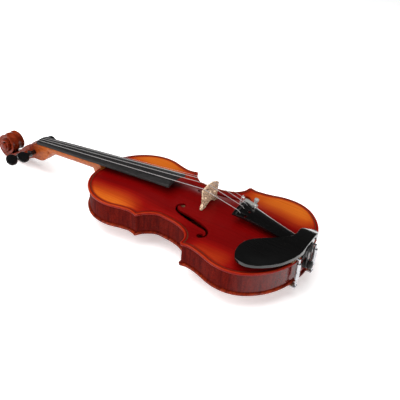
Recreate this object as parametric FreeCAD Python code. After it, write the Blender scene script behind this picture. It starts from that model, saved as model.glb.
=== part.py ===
import FreeCAD, Part
import math
import os

# A full-size violin with strings, chinrest and one fine tuner.
# Build frame, in millimetres: x runs from the upper edge of the body (0) to the tail edge,
# +y is the treble side, and z = 0 is the glue plane between the ribs and the top.
# Everything is moved at the end so that the origin is the bottom centre of the bounding box.

Vector = FreeCAD.Vector
X_AXIS = Vector(1, 0, 0)
Y_AXIS = Vector(0, 1, 0)
Z_AXIS = Vector(0, 0, 1)

# ---- driving sizes ----
BODY_LENGTH = 355.0
RIB_HEIGHT = 29.0
EDGE_THICKNESS = 4.0
TOP_ARCH = 11.5
BACK_ARCH = 11.0
PLATE_THICKNESS = 3.0
OVERHANG = 2.7
RIB_THICKNESS = 1.2
NECK_RISE = 11.2
NECK_ANGLE = 6.36
NUT_S = -130.0
BOARD_END_S = 139.0
BRIDGE_X = 195.0

# Half outline as points (x, y, direction in degrees), joined by pairs of smooth arcs.
UPPER_BOUT = [(0, 0, 90), (12.4, 51.7, 56.7), (67.3, 83.8, 0), (105.1, 75.8, -9.8), (123.4, 79.3, 28.2)]
CENTRE_BOUT = [(126.6, 75.1, -74.1), (139.6, 59.9, -36.5), (164.9, 57.1, 2.4), (197.0, 66.4, 33.2),
               (209.1, 90.0, 95.6)]
LOWER_BOUT = [(212.7, 94.0, -22.3), (226.2, 91.9, 8.1), (281.3, 104.3, 0), (339.8, 64.9, -61.1),
              (BODY_LENGTH, 0, -90)]
CORNER_X = [125.0, 211.0]
CORNER_Y = [77.0, 92.0]

# ---- arching ----
ARCH_STATIONS = [(-12, 40), (67, 77), (162, 50), (281, 97), (367, 42)]
ARCH_START = 6.0
ARCH_RAMP = 112.0
ARCH_GRID = (54, 40)
PLATE_INSET = 9.0
PURFLING_OFFSET = 4.0
PURFLING_WIDTH = 1.3
PURFLING_DEPTH = 1.7
PURFLING_RECESS = 0.04

# ---- sound holes: half of the pair, (x, y, width) along the stem ----
F_STEM = [(166.0, 22.5, 4.6), (160.6, 25.2, 2.2), (160.2, 30.2, 2.0), (165.5, 34.5, 3.4), (179.0, 37.6, 5.4),
          (195.0, 41.0, 6.6), (211.0, 45.2, 5.6), (223.5, 49.6, 3.6), (228.8, 55.6, 2.2), (228.6, 61.6, 2.2),
          (223.6, 64.6, 4.8)]
F_UPPER_EYE = (166.8, 23.4, 3.1)
F_LOWER_EYE = (222.6, 63.0, 4.3)

# ---- neck, pegbox and scroll: s along the neck, n square to the fingerboard's glue face ----
BOARD_HALF_WIDTHS = (12.0, 21.25)
BOARD_SIDE = 4.5
BOARD_RADIUS = 42.0
NUT_LENGTH = 6.0
NUT_ABOVE_BOARD = 0.8
NECK_SECTIONS = [(-114.0, 13.2), (-85.0, 13.8), (-50.0, 14.6), (-18.0, 15.6)]
HEEL_SECTIONS = [(14.0, -34.0, 16.4), (2.0, -22.5, 15.6), (-9.0, -16.0, 13.9), (-19.0, -12.6, 12.1),
                 (-RIB_HEIGHT, -11.0, 10.5)]
TENON = 6.0
BUTTON_RADIUS = 10.5
CHEEK_TOP = [(-136.0, -0.6), (-145.0, -1.2), (-154.0, -4.0), (-169.0, -12.0), (-182.0, -22.5), (-194.5, -30.5)]
CHIN_BACK = [(-112.0, -12.6), (-114.6, -17.0), (-121.0, -24.6), (-131.0, -28.0), (-144.0, -27.6),
             (-155.0, -30.2), (-166.0, -35.4), (-181.0, -41.6), (-196.0, -44.6), (-211.5, -44.0)]
CHEEK_PLAN = [(-110.0, 12.75), (-131.0, 13.5), (-165.0, 12.5), (-196.0, 11.2), (-240.0, 11.2)]
HOLLOW_PLAN = [(-137.0, 7.9), (-192.4, 5.8)]
HOLLOW_FLOOR = [(-137.0, -20.0), (-150.0, -23.6), (-166.0, -31.0), (-180.0, -37.6), (-192.4, -40.8)]
SCROLL_CENTRE = (-211.5, -19.6)
SCROLL_RADIUS = 24.4
SCROLL_TURN_RATIO = 0.58
SCROLL_STAGES = [(0.0, 12.5, 1.0), (1.0, 16.5, 0.95), (1.8, 19.2, 0.9)]
SCROLL_EYE = (5.2, 20.4)

# ---- pegs: name, side of the head, s, n ----
PEGS = [("g", -1, -143.0, -14.5), ("e", 1, -156.5, -18.5), ("d", -1, -173.0, -27.0), ("a", 1, -186.5, -33.8)]
PEG_RADIUS = 3.5
PEG_TAPER = 1.0 / 60.0
PEG_CLEARANCE = 0.05
PEG_TAIL = 14.6
PEG_COLLAR = 21.5
PEG_HEAD_END = 49.5
PEG_HEAD_TURN = {"g": 42.0, "d": 50.0, "e": 60.0, "a": 15.0}
WRAP_GAP = 0.06
WRAP_SWEEP = 285.0
WRAP_ROWS = 3

# ---- strings: y at the nut, at the bridge and at the tailpiece, and radius ----
STRINGS = {"g": (-8.2, -17.0, -14.0, 0.40), "d": (-2.75, -5.65, -4.7, 0.375),
           "a": (2.75, 5.65, 4.7, 0.34), "e": (8.2, 17.0, 14.0, 0.16)}

# ---- bridge ----
BRIDGE_FOOT_X = 4.5
BRIDGE_TOP_X = 1.5
BRIDGE_CROWN = 48.4
BRIDGE_RADIUS = 42.0
BRIDGE_LEAN_Y = -2.4
BRIDGE_HALF = [(1.5, 19.6), (6.0, 18.0), (10.2, 15.6), (10.6, 9.0), (20.8, 9.0), (20.9, 15.0), (20.0, 17.4),
               (18.2, 19.6), (17.4, 22.4), (18.0, 25.0), (19.6, 26.6), (19.9, 29.0), (18.9, 31.0),
               (18.8, 33.0), (20.4, 37.6)]
BRIDGE_EAR = 20.7

# ---- tailpiece: along a line sloping down to the tail ----
TAIL_START = (246.0, 35.4)
TAIL_END = (345.0, 17.3)
TAIL_SECTIONS = [(0.0, 21.0, 38.0, 9.0), (25.0, 15.8, 30.0, 8.6), (60.0, 12.6, 20.0, 8.0), (100.6, 10.8, 14.0, 7.0)]
GUT_HOLE_S = (84.0, 99.0)
TAIL_SHELL = 3.0
FRET_S = 5.0
SLOT_S = 8.5
BALL_RADIUS = 1.9
BALL_LENGTH = 3.0
BALL_GAP = 0.1

# ---- tail end: button, saddle and gut ----
BUTTON_Z = -14.5
GUT_RADIUS = 1.0
GUT_X = 357.4
BUTTON_NECK = 4.5
BUTTON_COLLAR = 7.5
BUTTON_HEAD_END = 364.8
SADDLE_X = (346.5, 355.4)
SADDLE_HALF = 17.0
SADDLE_TOP = 11.4

# ---- chinrest ----
REST_PLAN = [(291, -87), (284.5, -72), (283.5, -56), (289.5, -40), (303, -27), (321, -17.5), (331, -9), (334, 3),
             (333, 14), (338, 25), (346, 32.5), (352.5, 30), (356.5, 15), (357.8, -5), (356.5, -26), (352, -45),
             (343.5, -64), (330, -80), (314, -91), (301, -92.5)]
REST_CUP = (317.0, -60.0)
REST_RIM = 18.5
REST_CROWN = 7.5
REST_BOTTOM = 12.5
REST_SPAN_BOTTOM = 9.8
CORK_THICKNESS = 2.6
REST_FEET = [(-36.0, -17.5), (12.2, 27.0)]
REST_FOOT_X = (339.0, 354.5)

# ---- chinrest clamps: y, barrel centre x ----
CLAMPS = [("bass", -29.0, 356.7), ("treble", 15.5, 358.7)]
BARREL_RADIUS = 3.1
BARREL_Z = (-22.5, 2.5)
ROD_RADIUS = 1.5
ROD_CLEARANCE = 0.05
KEY_HOLE_RADIUS = 1.0
KEY_HOLE_Z = (-8.2, -10.8)
CLAMP_HOOK_Z = 8.8
CLAMP_FOOT_DROP = 1.2
CLAMP_FOOT = (10.0, 8.0, 2.0)

# ---- E fine tuner, on the tailpiece's line ----
TUNER_Y = 14.0
TUNER_SCREW_S = 15.0
KNOB_RADIUS = 3.3
KNOB_NOTCHES = 18
SCREW_RADIUS = 1.45
SCREW_CLEARANCE = 0.05
AXLE = (-1.4, -10.4)
AXLE_RADIUS = 0.8
LEVER_HALF = 2.3
LUG_HALF = (2.7, 3.5)

shapes = {}


# ---------------------------------------------------------------- helpers
def box(x0, x1, y0, y1, z0, z1):
    return Part.makeBox(x1 - x0, y1 - y0, z1 - z0, Vector(x0, y0, z0))


def rod(start, end, radius):
    axis = end - start
    return Part.makeCylinder(radius, axis.Length, start, axis)


def fuse(parts):
    joined = parts[0]
    if len(parts) > 1:
        joined = parts[0].multiFuse(parts[1:])
    return joined.removeSplitter()


def round_path(points, radius):
    """Straight rods through the points with a ball at each bend."""
    pieces = [rod(a, b, radius) for a, b in zip(points, points[1:])]
    pieces += [Part.makeSphere(radius, p) for p in points[1:-1]]
    return fuse(pieces)


def prism(wire, lift):
    return Part.Face(wire).extrude(lift)


def flat_polygon(points):
    return Part.makePolygon(points + points[:1])


def side_profile(points, half_width):
    """Closed polygon of (x, z) points, thickened both ways in y."""
    wire = flat_polygon([Vector(x, -half_width, z) for x, z in points])
    return prism(wire, Vector(0, 2 * half_width, 0))


def mirror_y(shape):
    return shape.mirror(Vector(0, 0, 0), Y_AXIS)


def neck_placement():
    return FreeCAD.Placement(Vector(0, 0, NECK_RISE), FreeCAD.Rotation(Y_AXIS, -NECK_ANGLE))


def tail_placement():
    slope = math.degrees(math.atan2(TAIL_START[1] - TAIL_END[1], TAIL_END[0] - TAIL_START[0]))
    return FreeCAD.Placement(Vector(TAIL_START[0], 0, TAIL_START[1]), FreeCAD.Rotation(Y_AXIS, slope))


def placed(shape, placement):
    moved = shape.copy()
    moved.Placement = placement.multiply(moved.Placement)
    return moved


def neck_point(s, y, n):
    return neck_placement().multVec(Vector(s, y, n))


def tail_point(s, y, n):
    return tail_placement().multVec(Vector(s, y, n))


# ---------------------------------------------------------------- outline
def direction(degrees):
    return Vector(math.cos(math.radians(degrees)), math.sin(math.radians(degrees)), 0)


def arc_edge(start, tangent, end):
    """Arc leaving start along tangent and ending at end."""
    chord = end - start
    turn = math.atan2(tangent.x * chord.y - tangent.y * chord.x, tangent.dot(chord))
    if abs(turn) < 1e-5:
        return Part.makeLine(start, end)
    sag = Vector(chord.y, -chord.x, 0) * (0.5 * math.tan(turn / 2))
    return Part.Arc(start, (start + end) * 0.5 + sag, end).toShape()


def biarc(first, second):
    """Two arcs that join two points with given directions smoothly."""
    p0 = Vector(first[0], first[1], 0)
    p1 = Vector(second[0], second[1], 0)
    t0 = direction(first[2])
    t1 = direction(second[2])
    gap = p1 - p0
    along = gap.dot(t0 + t1)
    bend = 2 * (1 - t0.dot(t1))
    if bend < 1e-9:
        reach = gap.dot(gap) / (4 * gap.dot(t1))
    else:
        reach = (math.sqrt(along * along + bend * gap.dot(gap)) - along) / bend
    middle = (p0 + t0 * reach + p1 - t1 * reach) * 0.5
    back = arc_edge(p1, t1 * -1, middle)
    return [arc_edge(p0, t0, middle), back]


def chain(nodes):
    edges = []
    for first, second in zip(nodes, nodes[1:]):
        edges += biarc(first, second)
    return edges


def body_outline():
    half = chain(UPPER_BOUT)
    half.append(tip_line(UPPER_BOUT[-1], CENTRE_BOUT[0]))
    half += chain(CENTRE_BOUT)
    half.append(tip_line(CENTRE_BOUT[-1], LOWER_BOUT[0]))
    half += chain(LOWER_BOUT)
    other = [mirror_y(edge) for edge in half]
    return Part.Wire(Part.__sortEdges__(half + other))


def tip_line(first, second):
    return Part.makeLine(Vector(first[0], first[1], 0), Vector(second[0], second[1], 0))


def plan_prism(offset, z0, z1):
    """Body outline pulled in by offset, as a solid from z0 to z1."""
    wire = body_outline()
    if offset:
        wire = wire.makeOffset2D(-offset)
    solid = prism(wire, Vector(0, 0, z1 - z0))
    solid.translate(Vector(0, 0, z0))
    return solid


def band(outer, inner, z0, z1):
    return plan_prism(outer, z0, z1).cut(plan_prism(inner, z0 - 1, z1 + 1))


# ---------------------------------------------------------------- arching
def arch_width(x):
    """Smooth half width of the arched field at station x."""
    for (x0, w0), (x1, w1) in zip(ARCH_STATIONS, ARCH_STATIONS[1:]):
        if x <= x1:
            share = max(0.0, (x - x0) / (x1 - x0))
            return w0 + (w1 - w0) * 0.5 * (1 - math.cos(math.pi * share))
    return ARCH_STATIONS[-1][1]


def arch_share(x, y):
    """Height of the arch at (x, y) as a share of its crown."""
    from_end = min(x - ARCH_START, BODY_LENGTH - ARCH_START - x)
    ramp = max(0.0, min(1.0, from_end / ARCH_RAMP))
    along = math.sin(0.5 * math.pi * ramp) ** 1.5
    across = min(1.0, abs(y) / arch_width(x))
    return along * math.cos(0.5 * math.pi * across) ** 2


def height_solid(height, x_range, y_range, counts, depth):
    """Solid below the surface z = height(x, y), going down by depth."""
    grid = []
    for i in range(counts[0]):
        x = x_range[0] + (x_range[1] - x_range[0]) * i / (counts[0] - 1)
        row = []
        for j in range(counts[1]):
            y = y_range[0] + (y_range[1] - y_range[0]) * j / (counts[1] - 1)
            row.append(Vector(x, y, height(x, y)))
        grid.append(row)
    surface = Part.BSplineSurface()
    surface.interpolate(grid)
    return surface.toShape().extrude(Vector(0, 0, -depth))


def arch_solid(base, rise, depth=60.0):
    return height_solid(lambda x, y: base + rise * arch_share(x, y), (-14.0, BODY_LENGTH + 14.0),
                        (-112.0, 112.0), ARCH_GRID, depth)


def plate(rise):
    """Arched plate standing on z = 0, hollow below, with the purfling groove cut."""
    body = plan_prism(0, 0, 30).common(arch_solid(EDGE_THICKNESS, rise))
    hollow = plan_prism(PLATE_INSET, -1, 30).common(arch_solid(EDGE_THICKNESS - PLATE_THICKNESS, rise))
    return body.cut(hollow).cut(purfling_band(2 * EDGE_THICKNESS))


def purfling_band(top=EDGE_THICKNESS - PURFLING_RECESS):
    return band(PURFLING_OFFSET, PURFLING_OFFSET + PURFLING_WIDTH, EDGE_THICKNESS - PURFLING_DEPTH, top)


def to_back(shape):
    """Move a shape made standing on z = 0 to hang under the ribs."""
    flipped = shape.mirror(Vector(0, 0, 0), Z_AXIS)
    flipped.translate(Vector(0, 0, -RIB_HEIGHT))
    return flipped


def sound_hole():
    """Treble sound hole: tapering stroke along the stem with a round eye at each end."""
    pieces = []
    curve = Part.BSplineCurve()
    curve.interpolate([Vector(x, y, 0) for x, y, width in F_STEM])
    left = []
    right = []
    for index, (x, y, width) in enumerate(F_STEM):
        parameter = curve.parameter(Vector(x, y, 0))
        tangent = curve.tangent(parameter)[0]
        normal = Vector(-tangent.y, tangent.x, 0) * (width / 2)
        left.append(Vector(x, y, 0) + normal)
        right.append(Vector(x, y, 0) - normal)
    sides = []
    for line in (left, right):
        spline = Part.BSplineCurve()
        spline.interpolate(line)
        sides.append(spline.toShape())
    ends = [Part.makeLine(left[0], right[0]), Part.makeLine(left[-1], right[-1])]
    pieces.append(prism(Part.Wire(Part.__sortEdges__(sides + ends)), Vector(0, 0, 30)))
    for x, y, radius in (F_UPPER_EYE, F_LOWER_EYE):
        pieces.append(Part.makeCylinder(radius, 30, Vector(x, y, 0)))
    return fuse(pieces)


# ---------------------------------------------------------------- body
def make_plates():
    top = plate(TOP_ARCH)
    hole = sound_hole()
    top = top.cut(hole).cut(mirror_y(hole))
    back = plate(BACK_ARCH)
    button = Part.makeCylinder(BUTTON_RADIUS, EDGE_THICKNESS)
    button = button.common(box(-20, 0, -20, 20, -1, 20))
    button = button.fuse(box(0, 3.5, -BUTTON_RADIUS, BUTTON_RADIUS, 0, EDGE_THICKNESS))
    shapes["top_plate"] = top
    shapes["back_plate"] = to_back(fuse([back, button]))
    shapes["purfling_top"] = purfling_band()
    shapes["purfling_back"] = to_back(purfling_band())


def make_ribs():
    ring = band(OVERHANG, OVERHANG + RIB_THICKNESS, -RIB_HEIGHT, 0)
    stations = [-20.0, CORNER_X[0], CORNER_X[1], BODY_LENGTH + 20.0]
    for part, x0, x1 in zip(("upper", "centre", "lower"), stations, stations[1:]):
        for side, y0, y1 in (("bass", -120, 0), ("treble", 0, 120)):
            shapes["rib_%s_%s" % (part, side)] = ring.common(box(x0, x1, y0, y1, -60, 20))


def make_inside():
    inner = OVERHANG + RIB_THICKNESS
    filling = plan_prism(inner, -RIB_HEIGHT, 0)
    neck_block = filling.common(box(-5, 22, -27, 27, -60, 20))
    end_block = filling.common(box(336, 360, -24, 24, -60, 20))
    corners = []
    for x, y in zip(CORNER_X, CORNER_Y):
        for side in (-1, 1):
            corners.append(Part.makeCylinder(25, 60, Vector(x, side * y, -50)).common(filling))
    corner_blocks = Part.makeCompound(corners)
    blocks = Part.makeCompound([neck_block, end_block] + corners)
    strip = band(inner, inner + 2.0, -8, 0).cut(blocks)
    shapes["neck_block"] = neck_block
    shapes["end_block"] = end_block
    shapes["corner_blocks"] = corner_blocks
    shapes["linings_top"] = strip
    low = strip.copy()
    low.translate(Vector(0, 0, 8 - RIB_HEIGHT))
    shapes["linings_back"] = low


def make_bass_bar():
    under = arch_solid(EDGE_THICKNESS - PLATE_THICKNESS, TOP_ARCH)
    curve = Part.Arc(Vector(44, -18.2, 0), Vector(180, -18.2, 2.2), Vector(316, -18.2, 0)).toShape()
    ends = [Vector(316, -18.2, 0), Vector(316, -18.2, 14), Vector(44, -18.2, 14), Vector(44, -18.2, 0)]
    lines = [Part.makeLine(a, b) for a, b in zip(ends, ends[1:])]
    blank = prism(Part.Wire([curve] + lines), Vector(0, 5.5, 0))
    shapes["bass_bar"] = blank.common(under)


def make_sound_post():
    post = Part.makeCylinder(3.0, 70, Vector(204, 20, -52))
    loose = post.cut(shapes["top_plate"]).cut(shapes["back_plate"])
    shapes["sound_post"] = min(loose.Solids, key=lambda s: abs(s.CenterOfMass.z + RIB_HEIGHT / 2))


# ---------------------------------------------------------------- neck
def board_half_width(s):
    share = (s - NUT_S) / (BOARD_END_S - NUT_S)
    return BOARD_HALF_WIDTHS[0] + (BOARD_HALF_WIDTHS[1] - BOARD_HALF_WIDTHS[0]) * share


def board_top(y, half_width, extra=0.0):
    radius = BOARD_RADIUS + extra
    return BOARD_SIDE + extra + math.sqrt(radius ** 2 - y ** 2) - math.sqrt(radius ** 2 - half_width ** 2)


def board_section(s, half_width, extra=0.0):
    top = BOARD_SIDE + extra
    corners = [Vector(s, -half_width, top), Vector(s, -half_width, 0), Vector(s, half_width, 0),
               Vector(s, half_width, top)]
    lines = [Part.makeLine(a, b) for a, b in zip(corners, corners[1:])]
    crown = Vector(s, 0, board_top(0, half_width, extra))
    return Part.Wire(lines + [Part.Arc(corners[3], crown, corners[0]).toShape()])


def make_fingerboard():
    board = Part.makeLoft([board_section(s, board_half_width(s)) for s in (NUT_S, BOARD_END_S)], True, True)
    groove = Part.makeCone(0.5, 14.0, BOARD_END_S - 12, Vector(12, 0, -1.5), X_AXIS)
    groove = groove.common(box(0, 200, -30, 30, -20, 4.2))
    shapes["fingerboard"] = placed(board.cut(groove), neck_placement())
    nut = prism(board_section(NUT_S - NUT_LENGTH, BOARD_HALF_WIDTHS[0], NUT_ABOVE_BOARD),
                Vector(NUT_LENGTH, 0, 0))
    shapes["nut"] = placed(nut, neck_placement())


def neck_section(s, depth):
    half_width = board_half_width(s)
    left = Vector(s, -half_width, 0)
    right = Vector(s, half_width, 0)
    low = Vector(s, 0, -depth)
    quarter = math.sqrt(0.5)
    points = [left, Vector(s, -half_width * 0.985, -depth * 0.2),
              Vector(s, -half_width * quarter * 1.06, -depth * quarter * 0.98), low,
              Vector(s, half_width * quarter * 1.06, -depth * quarter * 0.98),
              Vector(s, half_width * 0.985, -depth * 0.2), right]
    curve = Part.BSplineCurve()
    curve.interpolate(points)
    return Part.Wire([curve.toShape(), Part.makeLine(right, left)])


def heel_section(z, reach, half_width):
    front = [Vector(TENON, -half_width, z), Vector(-2, -half_width, z)]
    back = [Vector(-2, half_width, z), Vector(TENON, half_width, z)]
    curve = Part.BSplineCurve()
    swing = half_width * 0.72
    curve.interpolate([front[1], Vector(-2 + (reach + 2) * 0.69, -swing, z), Vector(reach, 0, z),
                       Vector(-2 + (reach + 2) * 0.69, swing, z), back[0]])
    return Part.Wire([Part.makeLine(front[0], front[1]), curve.toShape(), Part.makeLine(back[0], back[1]),
                      Part.makeLine(back[1], front[0])])


def spline_wire(points, y):
    curve = Part.BSplineCurve()
    curve.interpolate([Vector(s, y, n) for s, n in points])
    return curve.toShape()


def pegbox_solid():
    half = 15.0
    top = spline_wire(CHEEK_TOP, -half)
    back = spline_wire(CHIN_BACK, -half)
    top_start, top_end = CHEEK_TOP[0], CHEEK_TOP[-1]
    back_start, back_end = CHIN_BACK[0], CHIN_BACK[-1]
    lines = [(top_start, (NUT_S, 0.0)), ((NUT_S, 0.0), (-110.0, 0.0)), ((-110.0, 0.0), back_start),
             (back_end, SCROLL_CENTRE), (SCROLL_CENTRE, top_end)]
    edges = [Part.makeLine(Vector(a[0], -half, a[1]), Vector(b[0], -half, b[1])) for a, b in lines]
    blank = prism(Part.Wire(Part.__sortEdges__([top, back] + edges)), Vector(0, 2 * half, 0))
    plan = [Vector(s, w, -60) for s, w in CHEEK_PLAN] + [Vector(s, -w, -60) for s, w in reversed(CHEEK_PLAN)]
    return blank.common(prism(flat_polygon(plan), Vector(0, 0, 90)))


def pegbox_hollow():
    floor = HOLLOW_FLOOR + [(HOLLOW_FLOOR[-1][0], 10.0), (HOLLOW_FLOOR[0][0], 10.0)]
    plan = [Vector(s, w, -60) for s, w in HOLLOW_PLAN] + [Vector(s, -w, -60) for s, w in reversed(HOLLOW_PLAN)]
    return side_profile(floor, 12.0).common(prism(flat_polygon(plan), Vector(0, 0, 90)))


def scroll_point(turns, y, scale):
    """Point of the scroll's spiral, starting at the bottom and going round by the front."""
    radius = scale * SCROLL_RADIUS * SCROLL_TURN_RATIO ** turns
    angle = -0.5 * math.pi - 2 * math.pi * turns
    return Vector(SCROLL_CENTRE[0] + radius * math.cos(angle), y, SCROLL_CENTRE[1] + radius * math.sin(angle))


def scroll_solid():
    pieces = []
    steps = 24
    for start, half_width, scale in SCROLL_STAGES:
        points = [scroll_point(start + k / steps, -half_width, scale) for k in range(steps + 1)]
        curve = Part.BSplineCurve()
        curve.interpolate(points)
        wire = Part.Wire([curve.toShape(), Part.makeLine(points[-1], points[0])])
        pieces.append(prism(wire, Vector(0, 2 * half_width, 0)))
    radius, half_width = SCROLL_EYE
    pieces.append(Part.makeCylinder(radius, 2 * half_width,
                                    Vector(SCROLL_CENTRE[0], -half_width, SCROLL_CENTRE[1]), Y_AXIS))
    return fuse(pieces)


def peg_cone(side, s, n, clearance, inner_y, outer_y):
    """Tapered shaft along y; thicker towards the head's side."""
    start = Vector(s, side * inner_y, n)
    radii = [PEG_RADIUS + PEG_TAPER * y + clearance for y in (inner_y, outer_y)]
    return Part.makeCone(radii[0], radii[1], outer_y - inner_y, start, Y_AXIS * side)


def make_neck():
    handle = Part.makeLoft([neck_section(s, depth) for s, depth in NECK_SECTIONS], True, False)
    upper = placed(fuse([handle, pegbox_solid(), scroll_solid()]).cut(pegbox_hollow()), neck_placement())
    heel = Part.makeLoft([heel_section(*section) for section in HEEL_SECTIONS], True, False)
    above_board = placed(box(-400, 400, -60, 60, 0, 80), neck_placement())
    neck = fuse([upper, heel.cut(above_board)])
    for name, side, s, n in PEGS:
        neck = neck.cut(placed(peg_cone(side, s, n, PEG_CLEARANCE, -20, 20), neck_placement()))
    for node in ("top_plate", "neck_block", "rib_upper_bass", "rib_upper_treble", "purfling_top"):
        shapes[node] = shapes[node].cut(neck)
    shapes["neck_and_scroll"] = neck


# ---------------------------------------------------------------- pegs and strings
def thumb_piece(side, s, n, turn):
    """Flat heart-shaped grip with a small knob at its end."""
    start = PEG_COLLAR + 4.0
    end = PEG_HEAD_END - 1.6
    half_plan = [(start, 3.2), (start + 3, 5.0), (start + 7, 8.8), (start + 12, 9.9), (end - 4.5, 8.6), (end, 3.5)]
    outline = [Vector(r, side * y, 0) for y, r in half_plan]
    outline += [Vector(-r, side * y, 0) for y, r in reversed(half_plan)]
    curve = Part.BSplineCurve()
    curve.interpolate(outline, PeriodicFlag=True)
    grip = prism(Part.Wire([curve.toShape()]), Vector(0, 0, 6.0))
    grip.translate(Vector(0, 0, -3.0))
    grip.rotate(Vector(0, 0, 0), Y_AXIS, turn)
    grip.translate(Vector(s, 0, n))
    return grip


def make_pegs():
    for name, side, s, n in PEGS:
        shaft = peg_cone(side, s, n, 0, -PEG_TAIL, PEG_COLLAR + 6)
        collar = Part.makeCylinder(5.4, 3.0, Vector(s, side * PEG_COLLAR, n), Y_AXIS * side)
        waist = Part.makeCone(4.4, 3.2, 4.0, Vector(s, side * (PEG_COLLAR + 3), n), Y_AXIS * side)
        knob = Part.makeSphere(2.0, Vector(s, side * (PEG_HEAD_END - 2.0), n))
        peg = fuse([shaft, collar, waist, thumb_piece(side, s, n, PEG_HEAD_TURN[name]), knob])
        shapes["peg_" + name] = placed(peg, neck_placement())


def wrap_y(name, side):
    """Where a string meets its peg: in line with the nut slot, kept clear of the cheeks."""
    return max(-4.6, min(4.6, STRINGS[name][0]))


def peg_radius_at(side, y):
    return PEG_RADIUS + PEG_TAPER * side * y


def make_windings():
    for name, side, s, n in PEGS:
        radius = STRINGS[name][3]
        rings = []
        for row in range(WRAP_ROWS):
            y = wrap_y(name, side) - side * (row + 1.3) * (2 * radius + 0.1)
            reach = peg_radius_at(side, y + side * radius) + radius
            rings.append(Part.makeTorus(reach, radius, Vector(s, y, n), Y_AXIS))
        shapes["winding_" + name] = placed(Part.makeCompound(rings), neck_placement())


def string_on_bridge(name):
    y = STRINGS[name][1]
    top = BRIDGE_CROWN - BRIDGE_RADIUS + math.sqrt(BRIDGE_RADIUS ** 2 - (y - BRIDGE_LEAN_Y) ** 2)
    return Vector(BRIDGE_X, y, top)


def string_on_nut(name):
    y, radius = STRINGS[name][0], STRINGS[name][3]
    top = board_top(y, BOARD_HALF_WIDTHS[0], NUT_ABOVE_BOARD)
    return neck_point(NUT_S, y, top + radius * 0.3), neck_point(NUT_S - NUT_LENGTH, y, top + radius * 0.3 - 0.4)


def tail_radius(s):
    (s0, w0, r0, d0), (s1, w1, r1, d1) = TAIL_SECTIONS[0], TAIL_SECTIONS[1]
    return r0 + (r1 - r0) * max(0.0, s - s0) / (s1 - s0)


def tail_top(s, y):
    """Height of the tailpiece's top surface in its own frame."""
    radius = tail_radius(s)
    return math.sqrt(radius ** 2 - y ** 2) - radius


def ball_height(name):
    """Middle of a string's ball end, resting against the underside of the tailpiece."""
    reach = abs(STRINGS[name][2]) + BALL_LENGTH / 2
    top = tail_top(SLOT_S, 0)
    radius = tail_radius(SLOT_S)
    return top + math.sqrt((radius - TAIL_SHELL) ** 2 - reach ** 2) - radius - BALL_RADIUS - BALL_GAP


def peg_wrap(name):
    """Part of a turn round the peg, and the point where the string leaves it."""
    side, s, n = [(p[1], p[2], p[3]) for p in PEGS if p[0] == name][0]
    radius = STRINGS[name][3]
    y = wrap_y(name, side)
    reach = peg_radius_at(side, y + side * radius) + radius + WRAP_GAP
    centre = neck_point(s, y, n)
    start = string_on_nut(name)[1]
    gap = start - centre
    flat = math.hypot(gap.x, gap.z)
    leave = math.atan2(gap.z, gap.x) + math.acos(reach / flat)
    tangent = centre + Vector(math.cos(leave), 0, math.sin(leave)) * reach
    ring = Part.makeTorus(reach, radius, Vector(0, 0, 0), Z_AXIS, 0, 360, WRAP_SWEEP)
    ring.rotate(Vector(0, 0, 0), X_AXIS, 90)
    ring.rotate(Vector(0, 0, 0), Y_AXIS, -math.degrees(leave))
    ring.translate(centre)
    return ring, tangent


def make_strings():
    balls = []
    for name in STRINGS:
        y, radius = STRINGS[name][2], STRINGS[name][3]
        ring, tangent = peg_wrap(name)
        front, rear = string_on_nut(name)
        over = string_on_bridge(name)
        if name == "e":
            ending = [tail_point(-4.2, y, 0.6)]
        else:
            fret = tail_top(FRET_S, y) + 1.0 + radius
            ending = [tail_point(FRET_S, y, fret), tail_point(SLOT_S, y, tail_top(SLOT_S, y) - 0.6),
                      tail_point(SLOT_S + 0.2, y, ball_height(name))]
        path = round_path([tangent, rear, front, over] + ending, radius)
        string = fuse([path, ring, Part.makeSphere(radius, tangent)])
        shapes["string_" + name] = string
        if name != "e":
            low = tail_point(SLOT_S + 0.2, y - BALL_LENGTH / 2, ball_height(name))
            balls.append(Part.makeCylinder(BALL_RADIUS, BALL_LENGTH, low, Y_AXIS).cut(string))
    shapes["string_ball_ends"] = Part.makeCompound(balls)


# ---------------------------------------------------------------- bridge
def bridge_side(sign):
    return [Vector(0, sign * y, z) for y, z in BRIDGE_HALF]


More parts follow.
